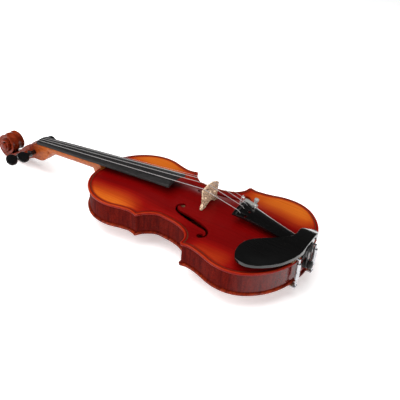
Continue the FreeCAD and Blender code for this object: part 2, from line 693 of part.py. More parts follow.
def make_bridge():
    treble = bridge_side(1)
    bass = bridge_side(-1)
    centre_y = BRIDGE_LEAN_Y
    base = BRIDGE_CROWN - BRIDGE_RADIUS
    ears = []
    for y in (BRIDGE_EAR, -BRIDGE_EAR):
        ears.append(Vector(0, y, base + math.sqrt(BRIDGE_RADIUS ** 2 - (y - centre_y) ** 2)))
    crown = Part.Arc(ears[0], Vector(0, centre_y, BRIDGE_CROWN), ears[1]).toShape()
    corners = treble + [ears[0]]
    lines = [Part.makeLine(a, b) for a, b in zip(corners, corners[1:])]
    others = [ears[1]] + bass[::-1] + [treble[0]]
    lines += [Part.makeLine(a, b) for a, b in zip(others, others[1:])]
    blank = prism(Part.Wire(Part.__sortEdges__(lines + [crown])), Vector(10, 0, 0))
    blank.translate(Vector(BRIDGE_X - 5, 0, 0))
    foot, top = BRIDGE_FOOT_X / 2, BRIDGE_TOP_X / 2
    wedge = [(BRIDGE_X - foot, 5), (BRIDGE_X - foot, 17), (BRIDGE_X - top, 50), (BRIDGE_X + top, 50),
             (BRIDGE_X + foot, 17), (BRIDGE_X + foot, 5)]
    bridge = blank.common(side_profile(wedge, 30))
    cuts = []
    for side in (-1, 1):
        cuts.append(Part.makeCylinder(3.0, 20, Vector(BRIDGE_X - 10, side * 11.6, 29.6), X_AXIS))
        cuts.append(box(BRIDGE_X - 10, BRIDGE_X + 10, min(side * 11.6, side * 24), max(side * 11.6, side * 24),
                        28.4, 30.0))
    for y, z, radius in ((-1.5, 34.6, 1.9), (1.5, 34.6, 1.9), (0, 32.6, 2.0), (0, 30.4, 1.2)):
        cuts.append(Part.makeCylinder(radius, 20, Vector(BRIDGE_X - 10, y, z), X_AXIS))
    bridge = bridge.cut(fuse(cuts))
    bridge = bridge.cut(shapes["top_plate"])
    for name in STRINGS:
        bridge = bridge.cut(shapes["string_" + name])
    shapes["bridge"] = max(bridge.Solids, key=lambda s: s.Volume)


# ---------------------------------------------------------------- tailpiece
def tail_section(s, half_width, radius, depth, inset=0.0):
    edge = half_width - inset
    drop = radius - inset - math.sqrt((radius - inset) ** 2 - edge ** 2) + inset
    corners = [Vector(s, -edge, -drop), Vector(s, -edge, -depth), Vector(s, edge, -depth), Vector(s, edge, -drop)]
    lines = [Part.makeLine(a, b) for a, b in zip(corners, corners[1:])]
    return Part.Wire(lines + [Part.Arc(corners[3], Vector(s, 0, -inset), corners[0]).toShape()])


def make_tailpiece():
    solid = Part.makeLoft([tail_section(*section) for section in TAIL_SECTIONS], True, False)
    hollow_sections = [tail_section(s, w, r, depth + 0.5, TAIL_SHELL) for s, w, r, depth in TAIL_SECTIONS]
    hollow = Part.makeLoft(hollow_sections, True, False).common(box(3.0, GUT_HOLE_S[0] + 4.0, -40, 40, -20, 20))
    tailpiece = solid.cut(hollow)
    for name in ("g", "d", "a"):
        y = STRINGS[name][2]
        tailpiece = tailpiece.cut(box(SLOT_S - 0.6, 17.0, y - 0.6, y + 0.6, -TAIL_SHELL - 6, 5))
        tailpiece = tailpiece.cut(Part.makeCylinder(2.1, 12, Vector(17.5, y, -TAIL_SHELL - 6)))
    fret = prism(board_like_bar(FRET_S - 1.0, 19.0), Vector(2.0, 0, 0)).cut(solid)
    fret = fret.cut(box(0, 20, TUNER_Y - 4.2, 40, -20, 20))
    shapes["tailpiece"] = placed(tailpiece, tail_placement())
    fret = placed(fret, tail_placement())
    for name in ("g", "d", "a"):
        fret = fret.cut(shapes["string_" + name])
        shapes["tailpiece"] = shapes["tailpiece"].cut(shapes["string_" + name])
    shapes["tailpiece_fret"] = fret


def board_like_bar(s, half_width):
    """Curved bar standing one millimetre over the tailpiece's top."""
    radius = TAIL_SECTIONS[0][2] - 1.0
    edge = Vector(s, half_width, 1.3 + math.sqrt(radius ** 2 - half_width ** 2) - radius)
    mirrored = Vector(s, -half_width, edge.z)
    low = [Vector(s, -half_width, edge.z - 3.0), Vector(s, half_width, edge.z - 3.0)]
    lines = [Part.makeLine(mirrored, low[0]), Part.makeLine(low[1], edge)]
    top = Part.Arc(edge, Vector(s, 0, 1.3), mirrored).toShape()
    bottom = Part.Arc(low[0], Vector(s, 0, -1.7), low[1]).toShape()
    return Part.Wire([lines[0], bottom, lines[1], top])


def make_tail_end():
    saddle = box(SADDLE_X[0], SADDLE_X[1], -SADDLE_HALF, SADDLE_HALF, 0, SADDLE_TOP)
    cutter = Part.makeCylinder(3.0, 2 * SADDLE_HALF, Vector(SADDLE_X[1] - 3.0, -SADDLE_HALF, SADDLE_TOP - 3.0),
                               Y_AXIS)
    corner = box(SADDLE_X[1] - 3.0, SADDLE_X[1] + 1, -20, 20, SADDLE_TOP - 3.0, SADDLE_TOP + 1)
    saddle = saddle.cut(corner.cut(cutter))
    for side in (-1, 1):
        slope = [Vector(SADDLE_X[0] - 1, side * 9, SADDLE_TOP + 0.01), Vector(SADDLE_X[0] - 1, side * 18, SADDLE_TOP),
                 Vector(SADDLE_X[0] - 1, side * 18, EDGE_THICKNESS)]
        saddle = saddle.cut(prism(flat_polygon(slope), Vector(20, 0, 0)))
    profile = [(338.0, 0), (338.0, 3.4), (BODY_LENGTH - OVERHANG, 3.8), (BODY_LENGTH - OVERHANG, BUTTON_COLLAR),
               (355.9, BUTTON_COLLAR - 1.0), (356.2, BUTTON_NECK), (GUT_X + 1.3, BUTTON_NECK),
               (359.0, 5.5), (361.2, 6.1), (363.5, 5.4), (BUTTON_HEAD_END, 2.8), (BUTTON_HEAD_END, 0)]
    button = Part.Face(flat_polygon([Vector(x, r, 0) for x, r in profile])).revolve(Vector(0, 0, 0), X_AXIS, 360)
    button = Part.Solid(button) if button.ShapeType == "Shell" else button
    button.translate(Vector(0, 0, BUTTON_Z))
    for node in ("top_plate", "purfling_top", "rib_lower_bass", "rib_lower_treble", "end_block"):
        shapes[node] = shapes[node].cut(saddle).cut(button)
    shapes["saddle"] = saddle
    shapes["end_button"] = button
    make_tailgut()


def make_tailgut():
    reach = BUTTON_NECK + GUT_RADIUS
    loop = Part.makeTorus(reach, GUT_RADIUS, Vector(0, 0, 0), Z_AXIS, 0, 360, 180)
    loop.rotate(Vector(0, 0, 0), Y_AXIS, 90)
    loop.rotate(Vector(0, 0, 0), X_AXIS, -90)
    loop.translate(Vector(GUT_X, 0, BUTTON_Z))
    pieces = [loop]
    nuts = []
    for side in (-1, 1):
        y = side * reach
        bends = [Vector(GUT_X, y, BUTTON_Z), Vector(GUT_X, y, SADDLE_TOP - 1.2),
                 Vector(SADDLE_X[1] - 1.6, y, SADDLE_TOP + 1.2), Vector(SADDLE_X[0] + 2.5, y, SADDLE_TOP + 1.5)]
        inside = tail_point(GUT_HOLE_S[0], y, -5.2)
        pieces.append(round_path(bends + [tail_point(GUT_HOLE_S[1], y, -5.2), inside], GUT_RADIUS))
        nuts.append(Part.makeCylinder(1.9, 3.0, tail_point(GUT_HOLE_S[0] + 0.6, y, -5.2),
                                      tail_point(1, 0, 0) - tail_point(0, 0, 0)))
    gut = fuse(pieces)
    shapes["tailgut"] = gut
    nuts = Part.makeCompound(nuts).cut(gut)
    shapes["tailpiece"] = shapes["tailpiece"].cut(gut)
    shapes["tailgut_nuts"] = nuts.cut(shapes["tailpiece"])


# ---------------------------------------------------------------- fine tuner
def make_tuner():
    y, s = TUNER_Y, TUNER_SCREW_S
    sleeve = Part.makeCylinder(2.6, 11.4, Vector(s, y, -9.0))
    strap = box(-1.2, 19.0, y - LUG_HALF[1], y + LUG_HALF[1], -3.6, -0.8)
    lugs = []
    for side in (-1, 1):
        y0, y1 = sorted((y + side * LUG_HALF[0], y + side * LUG_HALF[1]))
        lugs.append(box(-2.6, -0.3, y0, y1, AXLE[1] - 1.4, -0.8))
    bore = Part.makeCylinder(SCREW_RADIUS + SCREW_CLEARANCE, 40, Vector(s, y, -20))
    axle = Part.makeCylinder(AXLE_RADIUS, 2 * LUG_HALF[1], Vector(AXLE[0], y - LUG_HALF[1], AXLE[1]), Y_AXIS)
    frame = fuse([sleeve, strap] + lugs).cut(bore).cut(axle)
    nut = Part.makeCylinder(4.0, 1.8, Vector(s, y, -0.8)).cut(Part.makeCylinder(2.6, 20, Vector(s, y, -9)))
    screw = Part.makeCylinder(SCREW_RADIUS, 18.4, Vector(s, y, AXLE[1] + 1.0))
    knob = Part.makeCylinder(KNOB_RADIUS, 3.6, Vector(s, y, 6.2))
    knob = knob.fuse(Part.makeCylinder(2.4, 1.4, Vector(s, y, 4.9))).cut(bore)
    notches = []
    reach = KNOB_RADIUS + 0.1
    for k in range(KNOB_NOTCHES):
        angle = 2 * math.pi * k / KNOB_NOTCHES
        place = Vector(s + reach * math.cos(angle), y + reach * math.sin(angle), 5)
        notches.append(Part.makeCylinder(0.35, 6, place))
    knob = knob.cut(Part.makeCompound(notches))
    lever = make_lever(y, s)
    ball = Part.makeCylinder(1.5, 3.0, Vector(-5.8, y, 0.6), X_AXIS).cut(
        Part.makeCylinder(0.85, 8.0, Vector(-9, y, 0.6), X_AXIS))
    line = tail_placement()
    shapes["tailpiece"] = shapes["tailpiece"].cut(placed(sleeve, line))
    shapes["tailpiece"] = max(shapes["tailpiece"].Solids, key=lambda p: p.Volume)
    shapes["tuner_frame"] = placed(frame, line).cut(shapes["tailpiece"])
    shapes["tuner_ring_nut"] = placed(nut, line)
    shapes["tuner_screw"] = placed(screw, line)
    shapes["tuner_knob"] = placed(knob, line)
    shapes["tuner_lever"] = placed(lever, line)
    shapes["tuner_axle"] = placed(axle, line)
    shapes["tuner_ball_end"] = placed(ball, line)


def make_lever(y, s):
    axle_s = AXLE[0]
    arm_top = AXLE[1] + 0.6
    boss = Part.makeCylinder(1.5, 2 * LEVER_HALF, Vector(axle_s, y - LEVER_HALF, AXLE[1]), Y_AXIS)
    arm = box(axle_s, s + 2.4, y - LEVER_HALF, y + LEVER_HALF, arm_top - 1.2, arm_top)
    link = box(-7.0, axle_s, y - LEVER_HALF, y + LEVER_HALF, arm_top - 1.2, arm_top)
    hook = box(-7.0, -5.8, y - LEVER_HALF, y + LEVER_HALF, arm_top - 1.2, 2.4)
    slot = box(-8.0, -5.0, y - 0.7, y + 0.7, -0.1, 5)
    hole = Part.makeCylinder(AXLE_RADIUS + 0.05, 20, Vector(axle_s, y - 10, AXLE[1]), Y_AXIS)
    return fuse([boss, arm, link, hook]).cut(slot).cut(hole)


# ---------------------------------------------------------------- chinrest
def rest_top(x, y):
    lift = math.exp(-((y - 2) / 24.0) ** 4)
    dip = math.exp(-((x - REST_CUP[0]) / 21.0) ** 2 - ((y - REST_CUP[1]) / 23.0) ** 2)
    return REST_RIM + REST_CROWN * lift - 4.5 * dip


def rest_bottom(x, y):
    return REST_BOTTOM + REST_SPAN_BOTTOM * math.exp(-(abs(y) / 18.0) ** 8)


def clamp_rods(y, x):
    """Upper hook: into the rest's foot, round the top plate's edge and down into the barrel."""
    points = [Vector(344.0, y, CLAMP_HOOK_Z), Vector(x, y, CLAMP_HOOK_Z), Vector(x, y, BARREL_Z[1] - 9.0)]
    return round_path(points, ROD_RADIUS)


def make_chinrest():
    plan = Part.BSplineCurve()
    plan.interpolate([Vector(x, y, 0) for x, y in REST_PLAN], PeriodicFlag=True)
    column = prism(Part.Wire([plan.toShape()]), Vector(0, 0, 60))
    span = ((276.0, 366.0), (-100.0, 44.0), (34, 60))
    under = height_solid(rest_bottom, *span, 80.0)
    rest = column.common(height_solid(rest_top, *span, 80.0)).cut(under)
    corks = []
    feet = [rest]
    for y0, y1 in REST_FEET:
        pad = box(REST_FOOT_X[0], REST_FOOT_X[1], y0, y1, 1, 22).common(plan_prism(1.0, -1, 30))
        pad = pad.cut(arch_solid(EDGE_THICKNESS, TOP_ARCH))
        cork_top = EDGE_THICKNESS + CORK_THICKNESS
        corks.append(pad.common(box(300, 380, -60, 60, 0, cork_top)))
        feet.append(pad.cut(box(300, 380, -60, 60, 0, cork_top)).cut(height_solid(rest_top, *span, -40.0)))
    rest = fuse(feet)
    cork = Part.makeCompound(corks).cut(shapes["saddle"])
    rest = rest.cut(shapes["saddle"])
    for name, y, x in CLAMPS:
        hook = clamp_rods(y, x)
        rest = rest.cut(hook)
        cork = cork.cut(hook)
        shapes["clamp_%s_upper_hook" % name] = hook
    shapes["chinrest"] = max(rest.Solids, key=lambda s: s.Volume)
    shapes["chinrest_cork"] = cork


def make_clamps():
    back_edge = -RIB_HEIGHT - EDGE_THICKNESS
    corks = []
    for name, y, x in CLAMPS:
        z0, z1 = BARREL_Z
        barrel = Part.makeCylinder(BARREL_RADIUS, z1 - z0, Vector(x, y, z0))
        barrel = barrel.cut(Part.makeCylinder(ROD_RADIUS + ROD_CLEARANCE, 60, Vector(x, y, z0 - 5)))
        for z, way in zip(KEY_HOLE_Z, (X_AXIS, Y_AXIS)):
            middle = Vector(x, y, z)
            barrel = barrel.cut(rod(middle - way * 5, middle + way * 5, KEY_HOLE_RADIUS))
        length, width, thick = CLAMP_FOOT
        foot_z = back_edge - CLAMP_FOOT_DROP - thick
        foot = box(x - length, x + ROD_RADIUS, y - width / 2, y + width / 2, foot_z, foot_z + thick)
        shank = rod(Vector(x, y, foot_z + 0.5), Vector(x, y, z0 + 10.0), ROD_RADIUS)
        shapes["clamp_%s_barrel" % name] = barrel
        shapes["clamp_%s_lower_hook" % name] = fuse([foot, shank])
        pad = box(x - length, x - ROD_RADIUS - 1.6, y - width / 2, y + width / 2, foot_z + thick, back_edge)
        shapes["clamp_%s_cork" % name] = pad.cut(shapes["back_plate"])


# ---------------------------------------------------------------- assembly
def whole_origin():
    total = FreeCAD.BoundBox()
    for shape in shapes.values():
        total.add(shape.optimalBoundingBox(False))
    return Vector((total.XMin + total.XMax) / 2, (total.YMin + total.YMax) / 2, total.ZMin), total


def build():
    make_plates()
    make_ribs()
    make_inside()
    make_bass_bar()
    make_sound_post()
    make_fingerboard()
    make_neck()
    make_pegs()
    make_windings()
    make_strings()
    shapes["nut"] = shapes["nut"].cut(Part.makeCompound([shapes["string_" + name] for name in STRINGS]))
    make_bridge()
    make_tailpiece()
    make_tail_end()
    make_tuner()
    make_chinrest()
    make_clamps()


def export():
    origin, total = whole_origin()
    print("size %.2f %.2f %.2f" % (total.XLength, total.YLength, total.ZLength))
    print("origin %.4f %.4f %.4f" % (origin.x, origin.y, origin.z))
    os.makedirs("parts", exist_ok=True)
    for name, shape in shapes.items():
        moved = shape.copy()
        moved.translate(origin * -1)
        moved.exportStep("parts/%s.step" % name)
    for name, side, s, n in PEGS:
        print("peg_" + name, neck_point(s, 0, n) - origin)
    print("tuner screw", tail_point(TUNER_SCREW_S, TUNER_Y, 6.0) - origin)
    print("tuner axle", tail_point(AXLE[0], TUNER_Y, AXLE[1]) - origin)
    for name, y, x in CLAMPS:
        print("clamp", name, Vector(x, y, 0) - origin)


build()
export()
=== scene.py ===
import bpy
import math
import numpy as np
from mathutils import Matrix, Vector
from mathutils.geometry import delaunay_2d_cdt


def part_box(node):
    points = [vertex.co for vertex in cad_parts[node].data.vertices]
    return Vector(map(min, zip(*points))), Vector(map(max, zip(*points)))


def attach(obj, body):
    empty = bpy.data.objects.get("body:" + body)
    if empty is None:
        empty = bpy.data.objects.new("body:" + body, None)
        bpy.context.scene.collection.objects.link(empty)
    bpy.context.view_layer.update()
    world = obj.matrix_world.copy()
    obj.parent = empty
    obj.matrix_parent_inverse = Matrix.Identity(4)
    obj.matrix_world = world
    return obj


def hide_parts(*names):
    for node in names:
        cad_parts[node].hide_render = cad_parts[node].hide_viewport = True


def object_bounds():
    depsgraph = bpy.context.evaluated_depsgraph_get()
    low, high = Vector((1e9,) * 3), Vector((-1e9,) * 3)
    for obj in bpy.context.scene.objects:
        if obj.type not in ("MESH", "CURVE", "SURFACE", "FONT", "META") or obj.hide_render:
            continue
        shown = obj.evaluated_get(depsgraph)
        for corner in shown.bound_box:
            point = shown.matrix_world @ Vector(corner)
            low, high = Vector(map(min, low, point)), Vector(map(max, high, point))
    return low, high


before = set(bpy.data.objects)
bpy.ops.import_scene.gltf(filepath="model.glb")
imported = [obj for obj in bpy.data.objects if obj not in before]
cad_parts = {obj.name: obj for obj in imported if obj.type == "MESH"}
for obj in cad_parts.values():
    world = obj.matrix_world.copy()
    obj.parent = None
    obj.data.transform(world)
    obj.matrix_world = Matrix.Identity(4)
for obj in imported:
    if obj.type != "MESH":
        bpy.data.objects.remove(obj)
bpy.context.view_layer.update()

# Sizes below are millimetres in the maker's frame: x from the body's upper edge to its tail edge,
# +y to the treble side, z = 0 where the ribs meet the top. MM and ORIGIN take them to the row frame.
MM = 0.001
BODY_LENGTH = 355.0
ORIGIN = np.array([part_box("back_plate")[1][0] - BODY_LENGTH * MM, 0.0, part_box("top_plate")[0][2]])
RIB_HEIGHT = (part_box("top_plate")[0][2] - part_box("back_plate")[1][2]) / MM
TOP_ARCH = 11.5
BACK_ARCH = 11.0
OVERHANG = 2.7
RIB_THICKNESS = 1.2
RIB_STEPS = 320
RIB_BITE = 0.3
PLATE_THICKNESS = 3.0
ROOT = "violin"
# Row x where a change starts and ends in metres, and its values there.
SHINE_RANGE = (0.225, 0.280, 0.07, 0.9)
NECK_AMBER_RANGE = (-0.215, -0.180, 0.0, 0.75)

UPPER_BOUT = [(0, 0, 90), (12.4, 51.7, 56.7), (67.3, 83.8, 0), (105.1, 75.8, -9.8), (123.4, 79.3, 28.2)]
CENTRE_BOUT = [(126.6, 75.1, -74.1), (139.6, 59.9, -36.5), (164.9, 57.1, 2.4), (197.0, 66.4, 33.2),
               (209.1, 90.0, 95.6)]
LOWER_BOUT = [(212.7, 94.0, -22.3), (226.2, 91.9, 8.1), (281.3, 104.3, 0), (339.8, 64.9, -61.1),
              (BODY_LENGTH, 0, -90)]
ARCH_STATIONS = [(-12, 40), (67, 77), (162, 50), (281, 97), (367, 42)]
ARCH_START = 6.0
ARCH_RAMP = 112.0
F_STEM = [(166.0, 22.5, 5.2), (160.6, 25.2, 2.9), (160.2, 30.2, 2.8), (165.5, 34.5, 4.4), (179.0, 37.6, 6.6),
          (195.0, 41.0, 7.8), (211.0, 45.2, 6.8), (223.5, 49.6, 4.6), (228.8, 55.6, 3.0), (228.6, 61.6, 2.9),
          (223.6, 64.6, 5.2)]
F_EYES = [(166.8, 23.4, 3.5), (222.6, 63.0, 4.7)]

# s runs along the neck from the body's edge, n square to it; both are turned by NECK_ANGLE.
NECK_RISE = 11.2
NECK_ANGLE = math.radians(6.36)
NUT_S = -130.0
BOARD_END_S = 139.0
BOARD_HALF_WIDTHS = (12.0, 21.25)
BOARD_SIDE = 4.5
BOARD_RADIUS = 42.0
BOARD_FREE_S = 14.0
HOLLOW_START_S = -137.0
HOLLOW_END_S = -192.4
PEGS = [("g", -1, -143.0, -14.5), ("e", 1, -156.5, -18.5), ("d", -1, -173.0, -27.0), ("a", 1, -186.5, -33.8)]


def to_row(points):
    return np.asarray(points, float) * MM + ORIGIN


def full_turn(count):
    """Even angles once round, without the last one that meets the first."""
    return np.arange(count) * 2 * math.pi / count


# ------------------------------ camera and stage


def make_camera():
    """Camera at the photograph's viewing angle, looking at the middle of the body."""
    azimuth, elevation, roll = (math.radians(a) for a in (31.375, 32.296, 5.03))
    distance, aim, shift_right, shift_up = 987.8, np.array([180.0, 0.0, 0.0]), 0.707, 11.353
    back = np.array([math.sin(azimuth) * math.cos(elevation),
                     -math.cos(azimuth) * math.cos(elevation), math.sin(elevation)])
    right = np.cross([0, 0, 1], back)
    right /= np.linalg.norm(right)
    up = np.cross(back, right)
    rolled_right = math.cos(roll) * right + math.sin(roll) * up
    rolled_up = math.cos(roll) * up - math.sin(roll) * right
    place = aim + rolled_right * shift_right + rolled_up * shift_up + back * distance
    camera = bpy.data.objects.new("Camera", bpy.data.cameras.new("Camera"))
    bpy.context.scene.collection.objects.link(camera)
    camera.data.sensor_width = 36.0
    camera.data.lens = 61.31
    camera.data.clip_start = 0.01
    camera.data.clip_end = 20.0
    matrix = Matrix.Identity(4)
    for row in range(3):
        matrix[row][0], matrix[row][1], matrix[row][2] = rolled_right[row], rolled_up[row], back[row]
        matrix[row][3] = to_row(place)[row]
    camera.matrix_world = matrix
    bpy.context.scene.camera = camera


def area_light(name, place, aim, size, power, glossy):
    """Soft box; only a glossy one shows up as a highlight."""
    light = bpy.data.lights.new(name, "AREA")
    light.shape = "RECTANGLE"
    light.size, light.size_y = size
    light.energy = power
    holder = bpy.data.objects.new(name, light)
    holder.location = place
    holder.visible_glossy = glossy
    holder.rotation_euler = (Vector(aim) - Vector(place)).to_track_quat("-Z", "Y").to_euler()
    bpy.context.scene.collection.objects.link(holder)


def backdrop_rows():
    """White wall far round the floor, there only for views near the floor."""
    angles = np.arange(49) * 2 * math.pi / 48
    return [[(5.9 * math.cos(a), 5.9 * math.sin(a), z) for a in angles] for z in (-0.1, 6.0)]


def make_stage():
    floor = grid_object("studio_floor", [[(-6, -6, 0), (6, -6, 0)], [(-6, 6, 0), (6, 6, 0)]])
    floor.location.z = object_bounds()[0][2] - 0.0005
    paper, _, _, shader = new_material("floor_paper")
    shader.inputs["Base Color"].default_value = (0.93, 0.93, 0.93, 1)
    shader.inputs["Roughness"].default_value = 0.9
    shader.inputs["Specular IOR Level"].default_value = 0.1
    shader.inputs["Emission Color"].default_value = (1, 1, 1, 1)
    shader.inputs["Emission Strength"].default_value = 0.45
    floor.data.materials.append(paper)
    backdrop = grid_object("studio_backdrop", backdrop_rows())
    white, _, _, glow = new_material("backdrop_white")
    glow.inputs["Base Color"].default_value = (0, 0, 0, 1)
    glow.inputs["Emission Color"].default_value = (1, 1, 1, 1)
    glow.inputs["Emission Strength"].default_value = 0.92
    backdrop.data.materials.append(white)
    backdrop.visible_glossy = False
    backdrop.visible_diffuse = False
    backdrop.visible_shadow = False
    world = bpy.data.worlds.new("studio")
    world.use_nodes = True
    world.node_tree.nodes["Background"].inputs["Color"].default_value = (1, 1, 1, 1)
    world.node_tree.nodes["Background"].inputs["Strength"].default_value = 0.05
    bpy.context.scene.world = world
    bpy.context.scene.view_settings.view_transform = "Standard"
    centre = (0.10, 0.0, 0.05)
    area_light("key_soft_box", (-0.25, -0.30, 1.7), centre, (2.4, 2.2), 54, False)
    area_light("front_soft_box", (-0.6, -1.3, 0.8), centre, (1.2, 0.6), 9, True)
    area_light("tail_soft_box", (1.2, -0.45, 0.35), (0.25, 0.0, 0.03), (0.35, 0.5), 5, True)


# ------------------------------ mesh helpers
def add_object(name, vertices, faces, body=ROOT, sharp=None):
    mesh = bpy.data.meshes.new(name)
    mesh.from_pydata([tuple(v) for v in vertices], [], [tuple(f) for f in faces])
    mesh.validate()
    mesh.polygons.foreach_set("use_smooth", [True] * len(mesh.polygons))
    if sharp is not None:
        mesh.set_sharp_from_angle(angle=math.radians(sharp))
    obj = bpy.data.objects.new(name, mesh)
    bpy.context.scene.collection.objects.link(obj)
    if body:
        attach(obj, body)
    return obj


def grid_object(name, rows):
    """Open grid of rows of points, already in metres, on no body."""
    count = len(rows[0])
    vertices = [p for row in rows for p in row]
    faces = []
    for i in range(len(rows) - 1):
        for j in range(count - 1):
            a = i * count + j
            faces.append((a, a + 1, a + count + 1, a + count))
    return add_object(name, vertices, faces, body=None)


def loft(rings):
    """Closed rings of equal count, skinned in order and capped: (vertices, faces)."""
    count = len(rings[0])
    vertices = [tuple(p) for ring in rings for p in ring]
    faces = []
    for i in range(len(rings) - 1):
        for j in range(count):
            a, b = i * count + j, i * count + (j + 1) % count
            faces.append((a, b, b + count, a + count))
    faces.append(tuple(reversed(range(count))))
    faces.append(tuple(range((len(rings) - 1) * count, len(rings) * count)))
    return vertices, faces


def joined(parts):
    vertices, faces = [], []
    for part_vertices, part_faces in parts:
        shift = len(vertices)
        vertices += list(part_vertices)
        faces += [tuple(i + shift for i in face) for face in part_faces]
    return vertices, faces


def modify(obj, kind, **settings):
    modifier = obj.modifiers.new(kind.lower(), kind)
    for key, value in settings.items():
        setattr(modifier, key, value)


def bake_modifiers(obj):
    """Applies the object's modifiers to its own mesh."""
    graph = bpy.context.evaluated_depsgraph_get()
    baked = bpy.data.meshes.new_from_object(obj.evaluated_get(graph))
    obj.modifiers.clear()
    old = obj.data
    obj.data = baked
    bpy.data.meshes.remove(old)
    baked.polygons.foreach_set("use_smooth", [True] * len(baked.polygons))


def carve(obj, voxel, rounds):
    """Melts overlapping closed shells into one carved skin and softens its edges."""
    modify(obj, "REMESH", mode="VOXEL", voxel_size=voxel * MM, use_smooth_shade=True)
    modify(obj, "SMOOTH", factor=0.5, iterations=rounds)
    bake_modifiers(obj)


def carved_copy(name, node, voxel, rounds):
    """The node's own shape with carved, softened edges, in place of the node."""
    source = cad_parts[node]
    obj = bpy.data.objects.new(name, source.data.copy())
    bpy.context.scene.collection.objects.link(obj)
    obj.data.materials.clear()
    carve(obj, voxel, rounds)
    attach(obj, ROOT)
    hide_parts(node)
    return obj


def catmull(stations, count):
    """Smooth values through rows of numbers, resampled to count rows."""
    rows = np.asarray(stations, float)
    padded = np.vstack([2 * rows[0] - rows[1], rows, 2 * rows[-1] - rows[-2]])
    out = []
    for k in range(count):
        t = k * (len(rows) - 1) / (count - 1)
        i = min(int(t), len(rows) - 2)
        u = t - i
        a, b, c, d = padded[i:i + 4]
        out.append(0.5 * (2 * b + (c - a) * u + (2 * a - 5 * b + 4 * c - d) * u ** 2
                          + (3 * b - a - 3 * c + d) * u ** 3))
    return np.array(out)


def neck_to_maker(points):
    p = np.asarray(points, float)
    c, s = math.cos(NECK_ANGLE), math.sin(NECK_ANGLE)
    return np.stack([p[:, 0] * c - p[:, 2] * s, p[:, 1], NECK_RISE + p[:, 0] * s + p[:, 2] * c], 1)


def neck_to_row(points):
    return to_row(neck_to_maker(points))


def neck_ring(points):
    return [tuple(p) for p in neck_to_maker(points)]


# ------------------------------ outline
ARC_STEP = 1.6


def arc_points(start, tangent, end):
    """Points along the arc that leaves start along tangent and reaches end."""
    chord = end - start
    turn = math.atan2(tangent[0] * chord[1] - tangent[1] * chord[0], float(tangent @ chord))
    length = np.linalg.norm(chord)
    if abs(turn) < 1e-6:
        count = max(2, int(length / ARC_STEP))
        return [start + chord * k / count for k in range(count + 1)]
    radius = length / (2 * math.sin(turn))
    centre = start + radius * np.array([-tangent[1], tangent[0]])
    count = max(2, int(abs(2 * turn * radius) / ARC_STEP))
    points = []
    for k in range(count + 1):
        angle = 2 * turn * k / count
        c, s = math.cos(angle), math.sin(angle)
        arm = start - centre
        points.append(centre + np.array([arm[0] * c - arm[1] * s, arm[0] * s + arm[1] * c]))
    return points


def chain_points(nodes):
    """The bout's curve as points: two smooth arcs between each pair of nodes."""
    points = []
    for first, second in zip(nodes, nodes[1:]):
        p0, p1 = np.array(first[:2], float), np.array(second[:2], float)
        turns = (math.radians(first[2]), math.radians(second[2]))
        t0, t1 = (np.array([math.cos(turn), math.sin(turn)]) for turn in turns)
        gap = p1 - p0
        along, bend = gap @ (t0 + t1), 2 * (1 - t0 @ t1)
        if bend < 1e-9:
            reach = gap @ gap / (4 * gap @ t1)
        else:
            reach = (math.sqrt(along ** 2 + bend * (gap @ gap)) - along) / bend
        middle = (p0 + t0 * reach + p1 - t1 * reach) / 2
        points += arc_points(p0, t0, middle)[:-1]
        points += arc_points(p1, -t1, middle)[::-1][:-1]
    return np.array(points + [np.array(nodes[-1][:2], float)])


def inset_line(points, distance):
    """Points moved square to the line, into the body."""
    tangent = np.gradient(points, axis=0)
    tangent /= np.linalg.norm(tangent, axis=1)[:, None]
    return points + distance * np.stack([tangent[:, 1], -tangent[:, 0]], 1)


def crossing(first, second):
    """First place where two open lines cross: (index on first, index on second, point)."""
    p, r = first[:-1], np.diff(first, axis=0)
    q, s = second[:-1], np.diff(second, axis=0)
    cross = r[:, None, 0] * s[None, :, 1] - r[:, None, 1] * s[None, :, 0]
    cross = np.where(abs(cross) < 1e-12, 1e-12, cross)
    gap = q[None] - p[:, None]
    t = (gap[..., 0] * s[None, :, 1] - gap[..., 1] * s[None, :, 0]) / cross
    u = (gap[..., 0] * r[:, None, 1] - gap[..., 1] * r[:, None, 0]) / cross
    hits = np.argwhere((t >= -1e-9) & (t <= 1 + 1e-9) & (u >= -1e-9) & (u <= 1 + 1e-9))
    if not len(hits):
        return None
    i, j = hits[0]
    return i, j, p[i] + t[i, j] * r[i]


def corner_cut(before, tip, after):
    """Trims two bouts at their corner; the short tip line stays while it still has length."""
    first, second = crossing(before, tip), crossing(tip, after)
    if first and second and first[1] <= second[0]:
        along = tip[-1] - tip[0]
        if (second[2] - first[2]) @ along > 0:
            return before[:first[0] + 1], [first[2], second[2]], after[second[1] + 1:]
    i, j, point = crossing(before, after)
    return before[:i + 1], [point], after[j + 1:]


BOUTS = [chain_points(nodes) for nodes in (UPPER_BOUT, CENTRE_BOUT, LOWER_BOUT)]


def half_ring(distance):
    """Half outline pulled in by distance, as its three bouts and two corner tips."""
    lines = [inset_line(bout, distance) if distance else bout for bout in BOUTS]
    tips = []
    for before, after in zip(BOUTS, BOUTS[1:]):
        ends = np.array([before[-1], after[0]])
        tip = np.array([ends[0] + (ends[1] - ends[0]) * k / 4 for k in range(5)])
        tips.append(inset_line(tip, distance) if distance else tip)
    if not distance:
        return lines, [list(tip[[0, -1]]) for tip in tips]
    corners = []
    for k, tip in enumerate(tips):
        lines[k], corner, lines[k + 1] = corner_cut(lines[k], tip, lines[k + 1])
        corners.append(corner)
    return lines, corners


